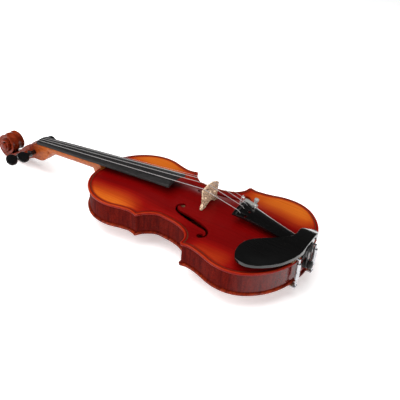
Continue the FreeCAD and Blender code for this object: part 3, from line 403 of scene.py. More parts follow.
def ring(distance):
    """Closed outline pulled in by distance: bass side is the mirror of the treble side."""
    (upper, centre, lower), (corner_a, corner_b) = half_ring(distance)
    half = np.vstack([upper, corner_a, centre, corner_b, lower])
    keep = np.r_[True, np.linalg.norm(np.diff(half, axis=0), axis=1) > 0.02]
    half = half[keep]
    half[0, 1] = half[-1, 1] = 0.0
    return np.vstack([half, (half * [1, -1])[-2:0:-1]])


OUTLINE = ring(0)


def edge_distance(points):
    """Distance of each (x, y) from the outline."""
    a = OUTLINE
    b = np.roll(OUTLINE, -1, axis=0)
    ab = b - a
    length = (ab ** 2).sum(1)
    out = np.empty(len(points))
    for start in range(0, len(points), 2000):
        p = points[start:start + 2000]
        gap = p[:, None] - a[None]
        t = np.clip((gap * ab).sum(2) / length, 0, 1)
        out[start:start + 2000] = np.sqrt(((gap - t[..., None] * ab) ** 2).sum(2).min(1))
    return out


def inside(points, polygon):
    """Even-odd test of many points against one polygon."""
    x, y = points[:, 0][:, None], points[:, 1][:, None]
    x0, y0 = polygon[:, 0], polygon[:, 1]
    x1, y1 = np.roll(x0, -1), np.roll(y0, -1)
    rise = np.where(y1 == y0, 1e-12, y1 - y0)
    hit = ((y0 > y) != (y1 > y)) & (x < (x1 - x0) * (y - y0) / rise + x0)
    return hit.sum(1) % 2 == 1


# ------------------------------ arched plates
def arch_share(x, y):
    width = np.empty_like(x)
    for (x0, w0), (x1, w1) in zip(ARCH_STATIONS, ARCH_STATIONS[1:]):
        here = (x >= x0) & (x <= x1)
        width[here] = w0 + (w1 - w0) * 0.5 * (1 - np.cos(np.pi * (x[here] - x0) / (x1 - x0)))
    ramp = np.clip(np.minimum(x - ARCH_START, BODY_LENGTH - ARCH_START - x) / ARCH_RAMP, 0, 1)
    along = np.sin(0.5 * np.pi * ramp) ** 1.5
    return along * np.cos(0.5 * np.pi * np.clip(abs(y) / width, 0, 1)) ** 2


def plate_height(x, y, d, rise):
    """Outer face: rounded edge, raised rim, scooped channel, then the arch."""
    rounding = np.sqrt(np.clip(4.0 - (2.0 - np.clip(d, 0, 2)) ** 2, 0, 4))
    edge = np.where(d < 2.0, 2.0 + rounding * 1.12, 4.24)
    rim = 4.24 + 0.08 * np.sin(np.clip((d - 1.2) / 2.4, 0, 1) * np.pi)
    base = np.where(d < 1.6, edge, rim)
    channel = 1.0 * np.exp(-((d - 7.6) / 3.1) ** 2)
    inner = np.clip((d - 4.0) / 6.0, 0, 1) * 0.24
    return base - channel - inner + rise * arch_share(x, y)


def plate_under(d, top):
    """Inner face: rounded lower edge, flat where it is glued, then hollow."""
    rounding = np.sqrt(np.clip(4.0 - (2.0 - np.clip(d, 0, 2)) ** 2, 0, 4))
    low = np.where(d < 2.0, 2.0 - rounding, 0.0)
    return np.where(d > 9.2, np.maximum(top - PLATE_THICKNESS, 0.4), low)


def stroke(nodes, steps):
    """Closed tapering stroke along a smooth line of (x, y, width)."""
    line = catmull(nodes, steps)
    tangent = np.gradient(line[:, :2], axis=0)
    tangent /= np.linalg.norm(tangent, axis=1)[:, None]
    normal = np.stack([-tangent[:, 1], tangent[:, 0]], 1) * line[:, 2:3] / 2
    return np.vstack([line[:, :2] + normal, (line[:, :2] - normal)[::-1]])


def circle(x, y, radius):
    angles = full_turn(28)
    return np.stack([x + radius * np.cos(angles), y + radius * np.sin(angles)], 1)


def sound_hole_loops():
    treble = [stroke(F_STEM, 60)] + [circle(*eye) for eye in F_EYES]
    return treble + [loop * [1, -1] for loop in treble]


EDGE_RINGS = [0, 0.15, 0.5, 1.0, 1.6, 2.2, 3.0, 4.0, 4.35, 4.85, 5.2, 6.2, 7.6, 9.0, 9.4, 11.0, 13.0]
PURFLING_RINGS = (4.0, 4.35, 4.85, 5.2)
PURFLING_PROUD = 0.03
PURFLING_DEPTH = 0.3
GRID_SPACING = 2.6
GRID_MARGIN = 14.2


def plate_layout(holes):
    """Flat triangle layout of a plate: points, distances from the edge, triangles."""
    points, edges = [], []

    def add_loop(loop):
        start = len(points)
        points.extend(tuple(p) for p in loop)
        edges.extend((start + k, start + (k + 1) % len(loop)) for k in range(len(loop)))

    for distance in EDGE_RINGS:
        add_loop(ring(distance))
    for loop in holes:
        add_loop(loop)
    columns = np.arange(14, 342, GRID_SPACING)
    rows = np.arange(-104 + GRID_SPACING / 2, 104, GRID_SPACING)
    grid = np.array([(x, y) for x in columns for y in rows])
    grid = grid[inside(grid, OUTLINE)]
    grid = grid[edge_distance(grid) > GRID_MARGIN]
    points.extend(tuple(p) for p in grid)
    vertices, _, faces, _, _, _ = delaunay_2d_cdt([Vector(p) for p in points], edges, [], 0, 1e-4)
    flat = np.array([tuple(v) for v in vertices])
    triangles = np.array([tuple(f) for f in faces])
    centres = flat[triangles].mean(1)
    keep = inside(centres, OUTLINE)
    for loop in holes:
        keep &= ~inside(centres, loop)
    return flat, edge_distance(flat), triangles[keep], centres[keep]


def open_edges(triangles):
    """Directed edges that belong to one triangle only."""
    directed = np.vstack([triangles[:, [0, 1]], triangles[:, [1, 2]], triangles[:, [2, 0]]])
    seen = set(map(tuple, directed))
    return [(a, b) for a, b in directed if (b, a) not in seen]


def sheet(name, flat, triangles, top, under, flip, sharp=None):
    """Closed sheet between two heights over a flat layout; flip mirrors it below the ribs."""
    used, local = np.unique(triangles, return_inverse=True)
    local = local.reshape(triangles.shape)
    count = len(used)
    heights = [top[used], under[used]]
    if flip:
        heights = [-RIB_HEIGHT - h for h in heights]
    faces = [tuple(t) for t in local]
    faces += [tuple(t[::-1] + count) for t in local]
    faces += [(a, a + count, b + count, b) for a, b in open_edges(local)]
    if flip:
        faces = [tuple(reversed(f)) for f in faces]
    vertices = np.vstack([np.column_stack([flat[used], h]) for h in heights])
    return add_object(name, to_row(vertices), faces, sharp=sharp), used


def build_plate(name, node, purfling_name, purfling_node, rise, holes, flip):
    flat, distance, triangles, centres = plate_layout(holes)
    x, y = flat[:, 0], flat[:, 1]
    top = plate_height(x, y, distance, rise)
    under = plate_under(distance, top)
    obj, used = sheet(name, flat, triangles, top, under, flip, 50)
    # The varnish's amber amount, with the painted edge highlight added in.
    shade = amber_and_painted_highlight(x[used], y[used], distance[used])
    add_attribute(obj, "amber_and_edge_highlight", np.concatenate([shade, shade]))
    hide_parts(node)
    middle = edge_distance(centres)
    in_line = (middle > PURFLING_RINGS[0]) & (middle < PURFLING_RINGS[-1])
    line, _ = sheet(purfling_name, flat, triangles[in_line], top + PURFLING_PROUD, top - PURFLING_DEPTH, flip)
    stripes = middle[in_line]
    pale = (stripes > PURFLING_RINGS[1]) & (stripes < PURFLING_RINGS[2])
    index = np.zeros(len(line.data.polygons), int)
    index[:len(pale)] = pale
    line.data.polygons.foreach_set("material_index", index)
    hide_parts(purfling_node)
    return obj, line


def add_attribute(obj, name, values):
    attribute = obj.data.attributes.new(name, "FLOAT", "POINT")
    attribute.data.foreach_set("value", np.asarray(values, float))


def patch(x, side, centre, spread, start, width):
    """Glow round one place along the body, growing from a distance off the middle line."""
    return np.exp(-((x - centre) / spread) ** 4) * np.clip((side - start) / width, 0, 1) ** 0.8


def amber_and_painted_highlight(x, y, d):
    """How amber the varnish is at each point: bright on the bouts' flanks, dark in the middle, with a painted
    highlight added along the rounded edge.
    """
    treble = patch(x, y, 60, 60, 20, 34) + patch(x, y, 284, 62, 30, 44)
    treble = treble + 0.25 * patch(x, y, 222, 16, 55, 20)
    bass = 0.92 * patch(x, -y, 62, 56, 34, 36) + 0.45 * patch(x, -y, 254, 34, 62, 24)
    waist = 0.2 * patch(x, abs(y), 156, 30, 38, 14)
    rim = np.clip((d - PURFLING_RINGS[0]) / 4.0, 0, 1)
    glow = (treble + bass + waist) * (0.15 + 0.85 * rim)
    # Painted highlight: a light band along the rounded edge, put into the colour in place of light caught
    # there.
    painted_edge_highlight = 0.52 * np.exp(-((d - 1.1) / 1.0) ** 2)
    return np.clip(glow + painted_edge_highlight, 0, 1)


# ------------------------------ neck, pegbox and scroll
NECK_SECTIONS = [(-136.0, 10.6, 12.6), (-128.0, 12.4, 12.75), (-114.0, 13.2, 13.2), (-85.0, 13.8, 14.2),
                 (-50.0, 14.6, 15.2), (-18.0, 15.6, 16.2), (6.0, 16.4, 16.8)]
HEEL_SECTIONS = [(14.0, -34.0, 16.4), (2.0, -22.5, 15.6), (-9.0, -16.0, 13.9), (-19.0, -12.6, 12.1),
                 (-29.0, -11.0, 10.5)]
CHEEK_TOP = [(-133.5, -0.4), (-137.0, -0.7), (-145.0, -1.4), (-154.0, -4.2), (-162.0, -8.0), (-169.0, -12.2),
             (-176.0, -17.4), (-182.0, -22.3), (-188.0, -27.0), (-194.5, -30.2)]
CHIN_BACK = [(-112.0, -12.6), (-114.6, -17.0), (-121.0, -24.6), (-131.0, -28.0), (-144.0, -27.6),
             (-155.0, -30.2), (-166.0, -35.4), (-181.0, -41.6), (-196.0, -44.6), (-211.5, -44.0)]
CHEEK_PLAN = [(-110.0, 12.75), (-131.0, 13.5), (-165.0, 12.5), (-196.0, 11.2), (-240.0, 11.2)]
HOLLOW_PLAN = [(HOLLOW_START_S, 7.9), (HOLLOW_END_S, 5.8)]
HOLLOW_FLOOR = [(HOLLOW_START_S, -20.0), (-150.0, -23.6), (-166.0, -31.0), (-180.0, -37.6),
                (HOLLOW_END_S, -40.8)]
SCROLL_CENTRE = (-211.5, -19.6)
SCROLL_RADIUS = 24.4


def lerp_table(table, x):
    xs = np.array([row[0] for row in table], float)
    ys = np.array([row[1] for row in table], float)
    order = np.argsort(xs)
    return np.interp(x, xs[order], ys[order])


def smooth_table(table, count):
    """Finer stations along a smooth line through the table's points."""
    return [tuple(row) for row in catmull(table, count)]


def handle_ring(s, depth, half_width):
    """D-shaped section of the neck: flat under the board, round in the hand."""
    angles = np.linspace(math.pi, 2 * math.pi, 32)
    y = half_width * np.cos(angles)
    n = depth * np.sign(np.sin(angles)) * abs(np.sin(angles)) ** 0.92
    return [(s, a, min(b, 0.0)) for a, b in zip(y, n)]


def neck_handle():
    rows = catmull(NECK_SECTIONS, 24)
    return loft([neck_ring(handle_ring(*row)) for row in rows])


def neck_heel():
    rows = catmull(HEEL_SECTIONS, 20)
    rings = []
    for z, reach, half in rows:
        angles = np.linspace(0.5 * math.pi, 1.5 * math.pi, 28)
        x = -2 + (-2 - reach) * np.cos(angles)
        y = half * np.sin(angles)
        rings.append([(5.0, half, z)] + list(zip(x, y, [z] * len(x))) + [(5.0, -half, z)])
    return loft(rings)


def cheek(side):
    """One wall of the pegbox, thick enough to reach the scroll."""
    top = smooth_table(CHEEK_TOP, 36)
    stations = np.array([s for s, _ in top])
    back = lerp_table(smooth_table(CHIN_BACK, 60), stations)
    rings = []
    for (s, high), low in zip(top, back):
        outer = lerp_table(CHEEK_PLAN, s)
        inner = lerp_table(HOLLOW_PLAN, min(max(s, HOLLOW_END_S), HOLLOW_START_S))
        ring_points = [(s, side * inner, high - 0.5), (s, side * (inner + 0.6), high),
                       (s, side * (outer - 0.8), high), (s, side * outer, high - 0.8)]
        ring_points += [(s, side * outer, low + 1.6), (s, side * (outer - 1.3), low + 0.2),
                        (s, side * inner, low + 0.6)]
        rings.append(neck_ring(ring_points))
    if side > 0:
        rings = [list(reversed(r)) for r in rings]
    return loft(rings)


def pegbox_floor():
    """Back of the pegbox with its two hollowed flutes and the ridge between them."""
    back = smooth_table(CHIN_BACK, 70)
    rings = []
    for s, low in back:
        outer = lerp_table(CHEEK_PLAN, s)
        high = lerp_table(HOLLOW_FLOOR, s)
        if s > HOLLOW_START_S:
            high = min(-0.5, -20.0 + (s - HOLLOW_START_S) * 3.0)
        if s < HOLLOW_END_S:
            high = -30.0 + (s - HOLLOW_END_S) * 0.3
        high = max(high, low + 2.5)
        y = np.linspace(-outer, outer, 21)
        flute = 1.5 * np.clip((-s - 118.0) / 14.0, 0, 1)
        depth = flute * np.sin(math.pi * abs(y) / outer) ** 2
        bottom = [(s, a, low + b + (0.5 if abs(a) > outer - 0.1 else 0)) for a, b in zip(y, depth)]
        rings.append(neck_ring(bottom + [(s, outer, high), (s, -outer, high)]))
    return loft(rings)


def spiral_radius(turns):
    return SCROLL_RADIUS * 0.58 ** turns


def scroll_band(start, end, count, inner_share):
    """Part of the scroll's turn: fluted outer face, undercut inner sides."""
    rings = []
    for k in range(count + 1):
        turns = start + (end - start) * k / count
        outer = spiral_radius(turns)
        inner = outer * inner_share
        half = turn_half_width(turns)
        angle = -0.5 * math.pi - 2 * math.pi * turns
        flute = min(1.7, 0.1 * outer) * np.clip((turns + 0.1) / 0.1, 0, 1)
        profile = []
        for y in np.linspace(-1, 1, 17):
            dip = flute * math.sin(math.pi * abs(y)) ** 2
            profile.append((outer - dip, y * half))
        profile += [(outer - 1.6, half), (inner, half - 1.3), (inner, -(half - 1.3)),
                    (outer - 1.6, -half)]
        points = [(SCROLL_CENTRE[0] + r * math.cos(angle), y, SCROLL_CENTRE[1] + r * math.sin(angle))
                  for r, y in profile]
        rings.append(neck_ring(points))
    return loft(rings)


def turn_half_width(turns):
    """The scroll widens towards its eyes."""
    stations = [-0.1, 0.0, 0.45, 0.9, 1.4, 1.9, 2.4]
    return float(np.interp(turns, stations, [11.2, 11.4, 12.0, 13.8, 16.2, 18.4, 19.6]))


def scroll_eye(side):
    rings = []
    for reach, radius in ((0.0, 5.6), (17.0, 5.6), (19.4, 5.4), (20.3, 4.6), (20.8, 2.6), (20.9, 0.4)):
        angles = full_turn(24)
        points = np.stack([SCROLL_CENTRE[0] + radius * np.cos(angles), np.full(24, side * reach),
                           SCROLL_CENTRE[1] + radius * np.sin(angles)], 1)
        rings.append(neck_ring(points))
    if side < 0:
        rings = [list(reversed(r)) for r in rings]
    return loft(rings)


def scroll_core():
    """Web that joins the turns in the middle, narrower than each turn's rim."""
    rings = []
    for y in (-1, 1):
        points = []
        for a in full_turn(64):
            turns = ((-0.5 * math.pi - a) / (2 * math.pi)) % 1.0
            radius = spiral_radius(turns) - 2.4
            points.append((SCROLL_CENTRE[0] + radius * math.cos(a), y * 9.6,
                           SCROLL_CENTRE[1] + radius * math.sin(a)))
        rings.append(neck_ring(points))
    return loft(list(reversed(rings)))


def nut_seat():
    """Solid wood under the nut, between the neck and the pegbox."""
    rings = []
    for s, low in ((-137.2, -20.5), (-130.0, -22.0), (-118.0, -14.0)):
        half = lerp_table(CHEEK_PLAN, s) - 0.4
        top = -0.02 if s > -136 else -0.6
        points = [(s, -half, top), (s, -half, low), (s, half, low), (s, half, top)]
        rings.append(neck_ring(points))
    return loft(rings)


def build_neck():
    shells = [neck_handle(), neck_heel(), cheek(-1), cheek(1), pegbox_floor(), scroll_core(),
              scroll_band(0.0, 2.35, 150, 0.62), scroll_eye(-1), scroll_eye(1), nut_seat()]
    vertices, faces = joined(shells)
    obj = add_object("carved_neck_and_scroll", to_row(np.array(vertices)), faces)
    carve(obj, 0.5, 6)
    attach(obj, ROOT)
    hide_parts("neck_and_scroll")
    return obj


# ------------------------------ fingerboard
def build_fingerboard():
    rings = []
    for share in np.linspace(0, 1, 60):
        s = NUT_S + (BOARD_END_S - NUT_S) * share
        narrow, wide = BOARD_HALF_WIDTHS
        half = narrow + (wide - narrow) * share
        scoop = 0.6 * math.sin(math.pi * share)
        y = np.linspace(half - 0.5, -half + 0.5, 25)
        crown = BOARD_SIDE + np.sqrt(BOARD_RADIUS ** 2 - y ** 2) - math.sqrt(BOARD_RADIUS ** 2 - half ** 2)
        top = [(s, a, b - scoop * (1 - (a / half) ** 4)) for a, b in zip(y, crown)]
        lift = max(0.0, s - BOARD_FREE_S) / (BOARD_END_S - BOARD_FREE_S)
        under_y = np.linspace(-half + 1.6, half - 1.6, 13)
        under_n = lift ** 0.5 * 4.0 * np.cos(0.5 * math.pi * under_y / half)
        under = [(s, a, b) for a, b in zip(under_y, under_n)]
        side_top = BOARD_SIDE - 0.5
        points = top + [(s, -half, side_top), (s, -half, 0.4), (s, -half + 0.4, 0.0)] + under
        points += [(s, half - 0.4, 0.0), (s, half, 0.4), (s, half, side_top)]
        rings.append([tuple(p) for p in neck_to_row(np.array(points))])
    vertices, faces = loft(rings)
    obj = add_object("ebony_fingerboard", vertices, [tuple(reversed(f)) for f in faces], sharp=40)
    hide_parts("fingerboard")
    return obj


# ------------------------------ pegs
PEG_HEAD_TURN = {"g": 42.0, "d": 50.0, "e": 60.0, "a": 15.0}
PEG_PROFILE = [(-14.6, 3.0), (-14.4, 3.26), (21.5, 3.85), (21.7, 5.0), (22.3, 5.5), (23.7, 5.5), (24.3, 4.9),
               (24.8, 4.2), (25.7, 4.0), (27.1, 3.6), (29.0, 3.5), (32.0, 3.1), (34.5, 1.5), (35.1, 0.3)]
PEG_GRIP = [(26.7, 3.0, 3.0), (28.2, 4.0, 3.1), (30.1, 6.0, 3.2), (32.3, 8.4, 3.2), (35.4, 9.7, 3.1),
            (39.1, 9.9, 3.0), (42.8, 9.2, 2.8), (45.4, 7.6, 2.5), (47.1, 5.4, 2.1), (47.8, 2.6, 1.6)]
PEG_KNOB = [(46.1, 1.4), (47.3, 1.7), (47.9, 1.75), (48.7, 1.5), (49.3, 0.9), (49.5, 0.2)]


def turned_shell(profile, side, s, n, count):
    """Round piece about the peg's line, from rows of (distance out, radius)."""
    rings = []
    for y, radius in profile:
        rings.append([(s + radius * math.cos(a), side * y, n + radius * math.sin(a))
                      for a in full_turn(count)])
    return loft(rings)


def peg_shells(side, s, n, turn):
    """Shaft with its collar, thumb grip turned by turn degrees, and end knob."""
    shaft = turned_shell(PEG_PROFILE, side, s, n, 28)
    cosine, sine = math.cos(math.radians(turn)), math.sin(math.radians(turn))
    rings = []
    for y, wide, thick in catmull(PEG_GRIP, 26):
        ring_points = []
        for a in full_turn(32):
            u = wide * np.sign(math.cos(a)) * abs(math.cos(a)) ** 0.8
            hollow = 1 - 0.28 * math.exp(-(u / (0.5 * wide)) ** 2) * np.clip((y - 30) / 4, 0, 1)
            w = thick * hollow * np.sign(math.sin(a)) * abs(math.sin(a)) ** 0.85
            ring_points.append((s + u * cosine + w * sine, side * y, n - u * sine + w * cosine))
        rings.append(ring_points)
    shells = [shaft, loft(rings), turned_shell(PEG_KNOB, side, s, n, 20)]
    if side > 0:
        shells = [(v, [tuple(reversed(f)) for f in faces]) for v, faces in shells]
    return shells


def build_pegs(material):
    for name, side, s, n in PEGS:
        vertices, faces = joined(peg_shells(side, s, n, PEG_HEAD_TURN[name]))
        obj = add_object("ebony_peg_" + name, neck_to_row(np.array(vertices)), faces, body=None)
        carve(obj, 0.26, 3)
        obj.data.materials.append(material)
        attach(obj, "peg_" + name)
        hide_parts("peg_" + name)


# ------------------------------ materials
def new_material(name):
    material = bpy.data.materials.new(name)
    material.use_nodes = True
    nodes, links = material.node_tree.nodes, material.node_tree.links
    return material, nodes, links, nodes["Principled BSDF"]


def ramp_node(nodes, stops):
    node = nodes.new("ShaderNodeValToRGB")
    while len(node.color_ramp.elements) < len(stops):
        node.color_ramp.elements.new(0.5)
    for element, (place, colour) in zip(node.color_ramp.elements, stops):
        element.position = place
        element.color = (*colour, 1)
    return node


def tint(nodes, links, source, stops):
    """Ramp of colours read from a texture's factor; returns its colour socket."""
    ramp = ramp_node(nodes, stops)
    links.new(source.outputs["Fac"], ramp.inputs["Fac"])
    return ramp.outputs["Color"]


def paint(nodes, links, shader, source, stops):
    """Base colour from a ramp of colours read from a texture's factor."""
    links.new(tint(nodes, links, source, stops), shader.inputs["Base Color"])


def mapped_noise(nodes, links, scale, stretch, detail=3.0, rough=0.5, distortion=0.0):
    """Noise on object coordinates, stretched per axis."""
    coordinates = nodes.new("ShaderNodeTexCoord")
    mapping = nodes.new("ShaderNodeMapping")
    mapping.inputs["Scale"].default_value = stretch
    noise = nodes.new("ShaderNodeTexNoise")
    noise.inputs["Scale"].default_value = scale
    noise.inputs["Detail"].default_value = detail
    noise.inputs["Roughness"].default_value = rough
    noise.inputs["Distortion"].default_value = distortion
    links.new(coordinates.outputs["Object"], mapping.inputs["Vector"])
    links.new(mapping.outputs["Vector"], noise.inputs["Vector"])
    return noise


def mix_colours(nodes, links, factor, first, second, kind="MIX"):
    """Mix of two colours; each input is a socket or a plain colour."""
    mix = nodes.new("ShaderNodeMix")
    mix.data_type = "RGBA"
    mix.blend_type = kind
    for socket, value in (("Factor", factor), ("A", first), ("B", second)):
        wanted = "VALUE" if socket == "Factor" else "RGBA"
        target = [i for i in mix.inputs if i.name == socket and i.type == wanted][0]
        if isinstance(value, bpy.types.NodeSocket):
            links.new(value, target)
        elif socket == "Factor":
            target.default_value = value
        else:
            target.default_value = (*value, 1)
    return [o for o in mix.outputs if o.type == "RGBA"][0]


def speckle(nodes, links, shader, colour, scale, stretch, dark):
    """Gives the shader this colour, broken up by fine dark pores."""
    pores = mapped_noise(nodes, links, scale, stretch, 3.0, 0.6)
    specks = tint(nodes, links, pores, [(0.36, dark), (0.56, (1.05, 1.05, 1.05))])
    mixed = mix_colours(nodes, links, 1.0, colour, specks, "MULTIPLY")
    links.new(mixed, shader.inputs["Base Color"])


def object_axes(nodes, links):
    """Sockets of the x, y and z object coordinates."""
    coordinates = nodes.new("ShaderNodeTexCoord")
    split = nodes.new("ShaderNodeSeparateXYZ")
    links.new(coordinates.outputs["Object"], split.inputs[0])
    return split.outputs


def map_range(nodes, links, source, limits):
    """Socket that goes from limits[2] to limits[3] as source goes from limits[0] to limits[1]."""
    node = nodes.new("ShaderNodeMapRange")
    for socket, value in zip(node.inputs[1:5], limits):
        socket.default_value = value
    links.new(source, node.inputs[0])
    return node.outputs[0]


def bump(nodes, links, height, shader, strength):
    node = nodes.new("ShaderNodeBump")
    node.inputs["Strength"].default_value = strength
    node.inputs["Distance"].default_value = 0.2 * MM
    links.new(height, node.inputs["Height"])
    links.new(node.outputs["Normal"], shader.inputs["Normal"])


def varnish_coat(shader, roughness, coat, coat_roughness, gloss=0.03):
    shader.inputs["Roughness"].default_value = roughness
    shader.inputs["Coat Weight"].default_value = coat
    shader.inputs["Coat Roughness"].default_value = coat_roughness
    shader.inputs["Specular IOR Level"].default_value = gloss
    shader.inputs["Coat IOR"].default_value = 1.5


def spruce_varnish():
    """Sunburst varnish over straight-grained spruce, lightened by a painted highlight along the plate's edge.
    """
    material, nodes, links, shader = new_material("spruce_varnish")
    amber_and_edge_highlight = nodes.new("ShaderNodeAttribute")
    amber_and_edge_highlight.attribute_name = "amber_and_edge_highlight"
    cloud = mapped_noise(nodes, links, 14.0, (1.0, 1.4, 1.0), 3.0)
    blurred = nodes.new("ShaderNodeMath")
    blurred.operation = "MULTIPLY_ADD"
    links.new(cloud.outputs["Fac"], blurred.inputs[0])
    blurred.inputs[1].default_value = 0.30
    shifted = nodes.new("ShaderNodeMath")
    shifted.operation = "SUBTRACT"
    links.new(amber_and_edge_highlight.outputs["Fac"], shifted.inputs[0])
    shifted.inputs[1].default_value = 0.15
    links.new(shifted.outputs[0], blurred.inputs[2])
    tones = ramp_node(nodes, [(0.0, (0.130, 0.0010, 0.0012)), (0.22, (0.200, 0.0032, 0.0020)),
                              (0.45, (0.270, 0.0170, 0.0038)), (0.72, (0.40, 0.054, 0.0060)),
                              (1.0, (0.53, 0.118, 0.010))])
    links.new(blurred.outputs[0], tones.inputs["Fac"])
    grain = mapped_noise(nodes, links, 60.0, (0.05, 14.0, 0.2), 2.0, 0.6)
    lines = tint(nodes, links, grain, [(0.30, (0.80, 0.74, 0.70)), (0.62, (1.06, 1.06, 1.06))])
    colour = mix_colours(nodes, links, 1.0, tones.outputs["Color"], lines, "MULTIPLY")
    links.new(colour, shader.inputs["Base Color"])
    varnish_coat(shader, 0.35, 0.22, 0.10)
    bump(nodes, links, grain.outputs["Fac"], shader, 0.05)
    return material


def maple_varnish():
    """Dark red-brown varnish over maple with soft cross flames."""
    material, nodes, links, shader = new_material("maple_varnish")
    flame = mapped_noise(nodes, links, 30.0, (6.0, 0.7, 0.35), 2.0, 0.5, 0.4)
    stripes = tint(nodes, links, flame, [(0.34, (0.085, 0.0040, 0.0020)), (0.66, (0.26, 0.030, 0.008))])
    speckle(nodes, links, shader, stripes, 420.0, (1.0, 1.0, 1.0), (0.72, 0.68, 0.66))
    varnish_coat(shader, 0.38, 0.2, 0.12)
    return material


def neck_maple():
    """Red-brown head that turns amber along the neck."""
    material, nodes, links, shader = new_material("neck_maple")
    flame = mapped_noise(nodes, links, 26.0, (5.0, 0.6, 1.0), 2.0, 0.5, 0.5)
    stripes = tint(nodes, links, flame, [(0.28, (0.115, 0.009, 0.003)), (0.74, (0.240, 0.032, 0.008))])
    axes = object_axes(nodes, links)
    amber = map_range(nodes, links, axes[0], NECK_AMBER_RANGE)
    warm = mix_colours(nodes, links, amber, stripes, (0.42, 0.105, 0.018))
    speckle(nodes, links, shader, warm, 380.0, (0.3, 1.0, 1.0), (0.70, 0.66, 0.62))
    varnish_coat(shader, 0.34, 0.35, 0.12)
    return material


def purfling_stain(name, colour):
    material, nodes, links, shader = new_material(name)
    noise = mapped_noise(nodes, links, 500.0, (1, 1, 1), 2.0)
    paint(nodes, links, shader, noise, [(0.3, tuple(0.75 * c for c in colour)),
                                        (0.7, tuple(1.2 * c for c in colour))])
    varnish_coat(shader, 0.4, 0.3, 0.12)
    return material


def ebony(name, roughness, coat, grey):
    """Near-black wood with faint fine grain along the board."""
    material, nodes, links, shader = new_material(name)
    grain = mapped_noise(nodes, links, 220.0, (0.06, 3.0, 3.0), 3.0, 0.6)
    paint(nodes, links, shader, grain, [(0.3, (grey * 0.5, grey * 0.5, grey * 0.52)),
                                        (0.75, (grey * 1.8, grey * 1.7, grey * 1.7))])
    varnish_coat(shader, roughness, coat, 0.08, 0.12)
    bump(nodes, links, grain.outputs["Fac"], shader, 0.12)
    return material


def bridge_maple():
    """Pale unvarnished maple flecked with short brown rays."""
    material, nodes, links, shader = new_material("bridge_maple")
    flecks = mapped_noise(nodes, links, 620.0, (1.0, 0.6, 1.2), 3.0, 0.65)
    paint(nodes, links, shader, flecks, [(0.43, (0.16, 0.085, 0.045)), (0.50, (0.82, 0.60, 0.40)),
                                         (0.8, (0.94, 0.74, 0.54))])
    shader.inputs["Roughness"].default_value = 0.55
    return material


def bare_wood(name, dark, light):
    material, nodes, links, shader = new_material(name)
    grain = mapped_noise(nodes, links, 60.0, (0.08, 6.0, 1.0), 3.0, 0.6)
    paint(nodes, links, shader, grain, [(0.3, dark), (0.7, light)])
    shader.inputs["Roughness"].default_value = 0.7
    return material


def metal(name, colour, roughness):
    """Plated metal with faint handling marks in its gloss."""
    material, nodes, links, shader = new_material(name)
    marks = mapped_noise(nodes, links, 260.0, (1, 1, 1), 3.0)
    paint(nodes, links, shader, marks, [(0.3, tuple(0.92 * c for c in colour)), (0.7, colour)])
    gloss = tint(nodes, links, marks, [(0.3, (roughness,) * 3), (0.8, (roughness + 0.04,) * 3)])
    links.new(gloss, shader.inputs["Roughness"])
    shader.inputs["Metallic"].default_value = 0.7
    return material


def wound_string():
    """Silvery winding: fine rings across the string."""
    material, nodes, links, shader = new_material("string_steel")
    coordinates = nodes.new("ShaderNodeTexCoord")
    wave = nodes.new("ShaderNodeTexWave")
    wave.bands_direction = "X"
    wave.inputs["Scale"].default_value = 1100.0
    links.new(coordinates.outputs["Object"], wave.inputs["Vector"])
    paint(nodes, links, shader, wave, [(0.2, (0.34, 0.33, 0.33)), (0.8, (0.58, 0.56, 0.56))])
    shader.inputs["Metallic"].default_value = 0.45
    shader.inputs["Roughness"].default_value = 0.32
    return material


def cork():
    material, nodes, links, shader = new_material("cork")
    grains = mapped_noise(nodes, links, 700.0, (1, 1, 1), 4.0, 0.7)
    paint(nodes, links, shader, grains, [(0.35, (0.06, 0.03, 0.015)), (0.6, (0.20, 0.11, 0.06))])
    shader.inputs["Roughness"].default_value = 0.85
    bump(nodes, links, grains.outputs["Fac"], shader, 0.4)
    return material


def nylon():
    material, nodes, links, shader = new_material("tailgut_nylon")
    noise = mapped_noise(nodes, links, 300.0, (1, 1, 1), 2.0)
    paint(nodes, links, shader, noise, [(0.3, (0.012, 0.012, 0.013)), (0.7, (0.022, 0.021, 0.021))])
    shader.inputs["Roughness"].default_value = 0.35
    return material


# ------------------------------ ribs
def rib_line(bout, side, distance):
    """One bout's line inside the ribs' corners, for the bass (-1) or treble (1) side."""
    lines, corners = half_ring(distance)
    line = lines[bout]
    if bout == 0:
        line = np.vstack([line, corners[0][:1]])
    elif bout == 1:
        line = np.vstack([corners[0], line, corners[1]])
    else:
        line = np.vstack([corners[1][-1:], line])
    return line * [1, side]


def run_along(line):
    """Distance along a line at each of its points."""
    return np.concatenate([[0.0], np.cumsum(np.linalg.norm(np.diff(line, axis=0), axis=1))])


def resample(line, count):
    """The same line as count even steps."""
    run = run_along(line)
    keep = np.r_[True, np.diff(run) > 1e-6]
    line, run = line[keep], run[keep]
    even = np.linspace(0, run[-1], count)
    return np.stack([np.interp(even, run, line[:, 0]), np.interp(even, run, line[:, 1])], 1)


def build_ribs(material):
    for bout, part in enumerate(("upper", "centre", "lower")):
        for side, tag in ((-1, "bass"), (1, "treble")):
            outer = resample(rib_line(bout, side, OVERHANG), RIB_STEPS)
            inner = resample(rib_line(bout, side, OVERHANG + RIB_THICKNESS), RIB_STEPS)
            rings = []
            for a, b in zip(outer, inner):
                rings.append([(*a, RIB_BITE), (*a, -RIB_HEIGHT - RIB_BITE),
                              (*b, -RIB_HEIGHT - RIB_BITE), (*b, RIB_BITE)])
            vertices, faces = loft(rings)
            if side < 0:
                faces = [tuple(reversed(f)) for f in faces]
            obj = add_object("rib_%s_%s_strip" % (part, tag), to_row(np.array(vertices)), faces, sharp=40)
            add_attribute(obj, "run", np.repeat(run_along(outer), 4))
            obj.data.materials.append(material)
            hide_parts("rib_%s_%s" % (part, tag))


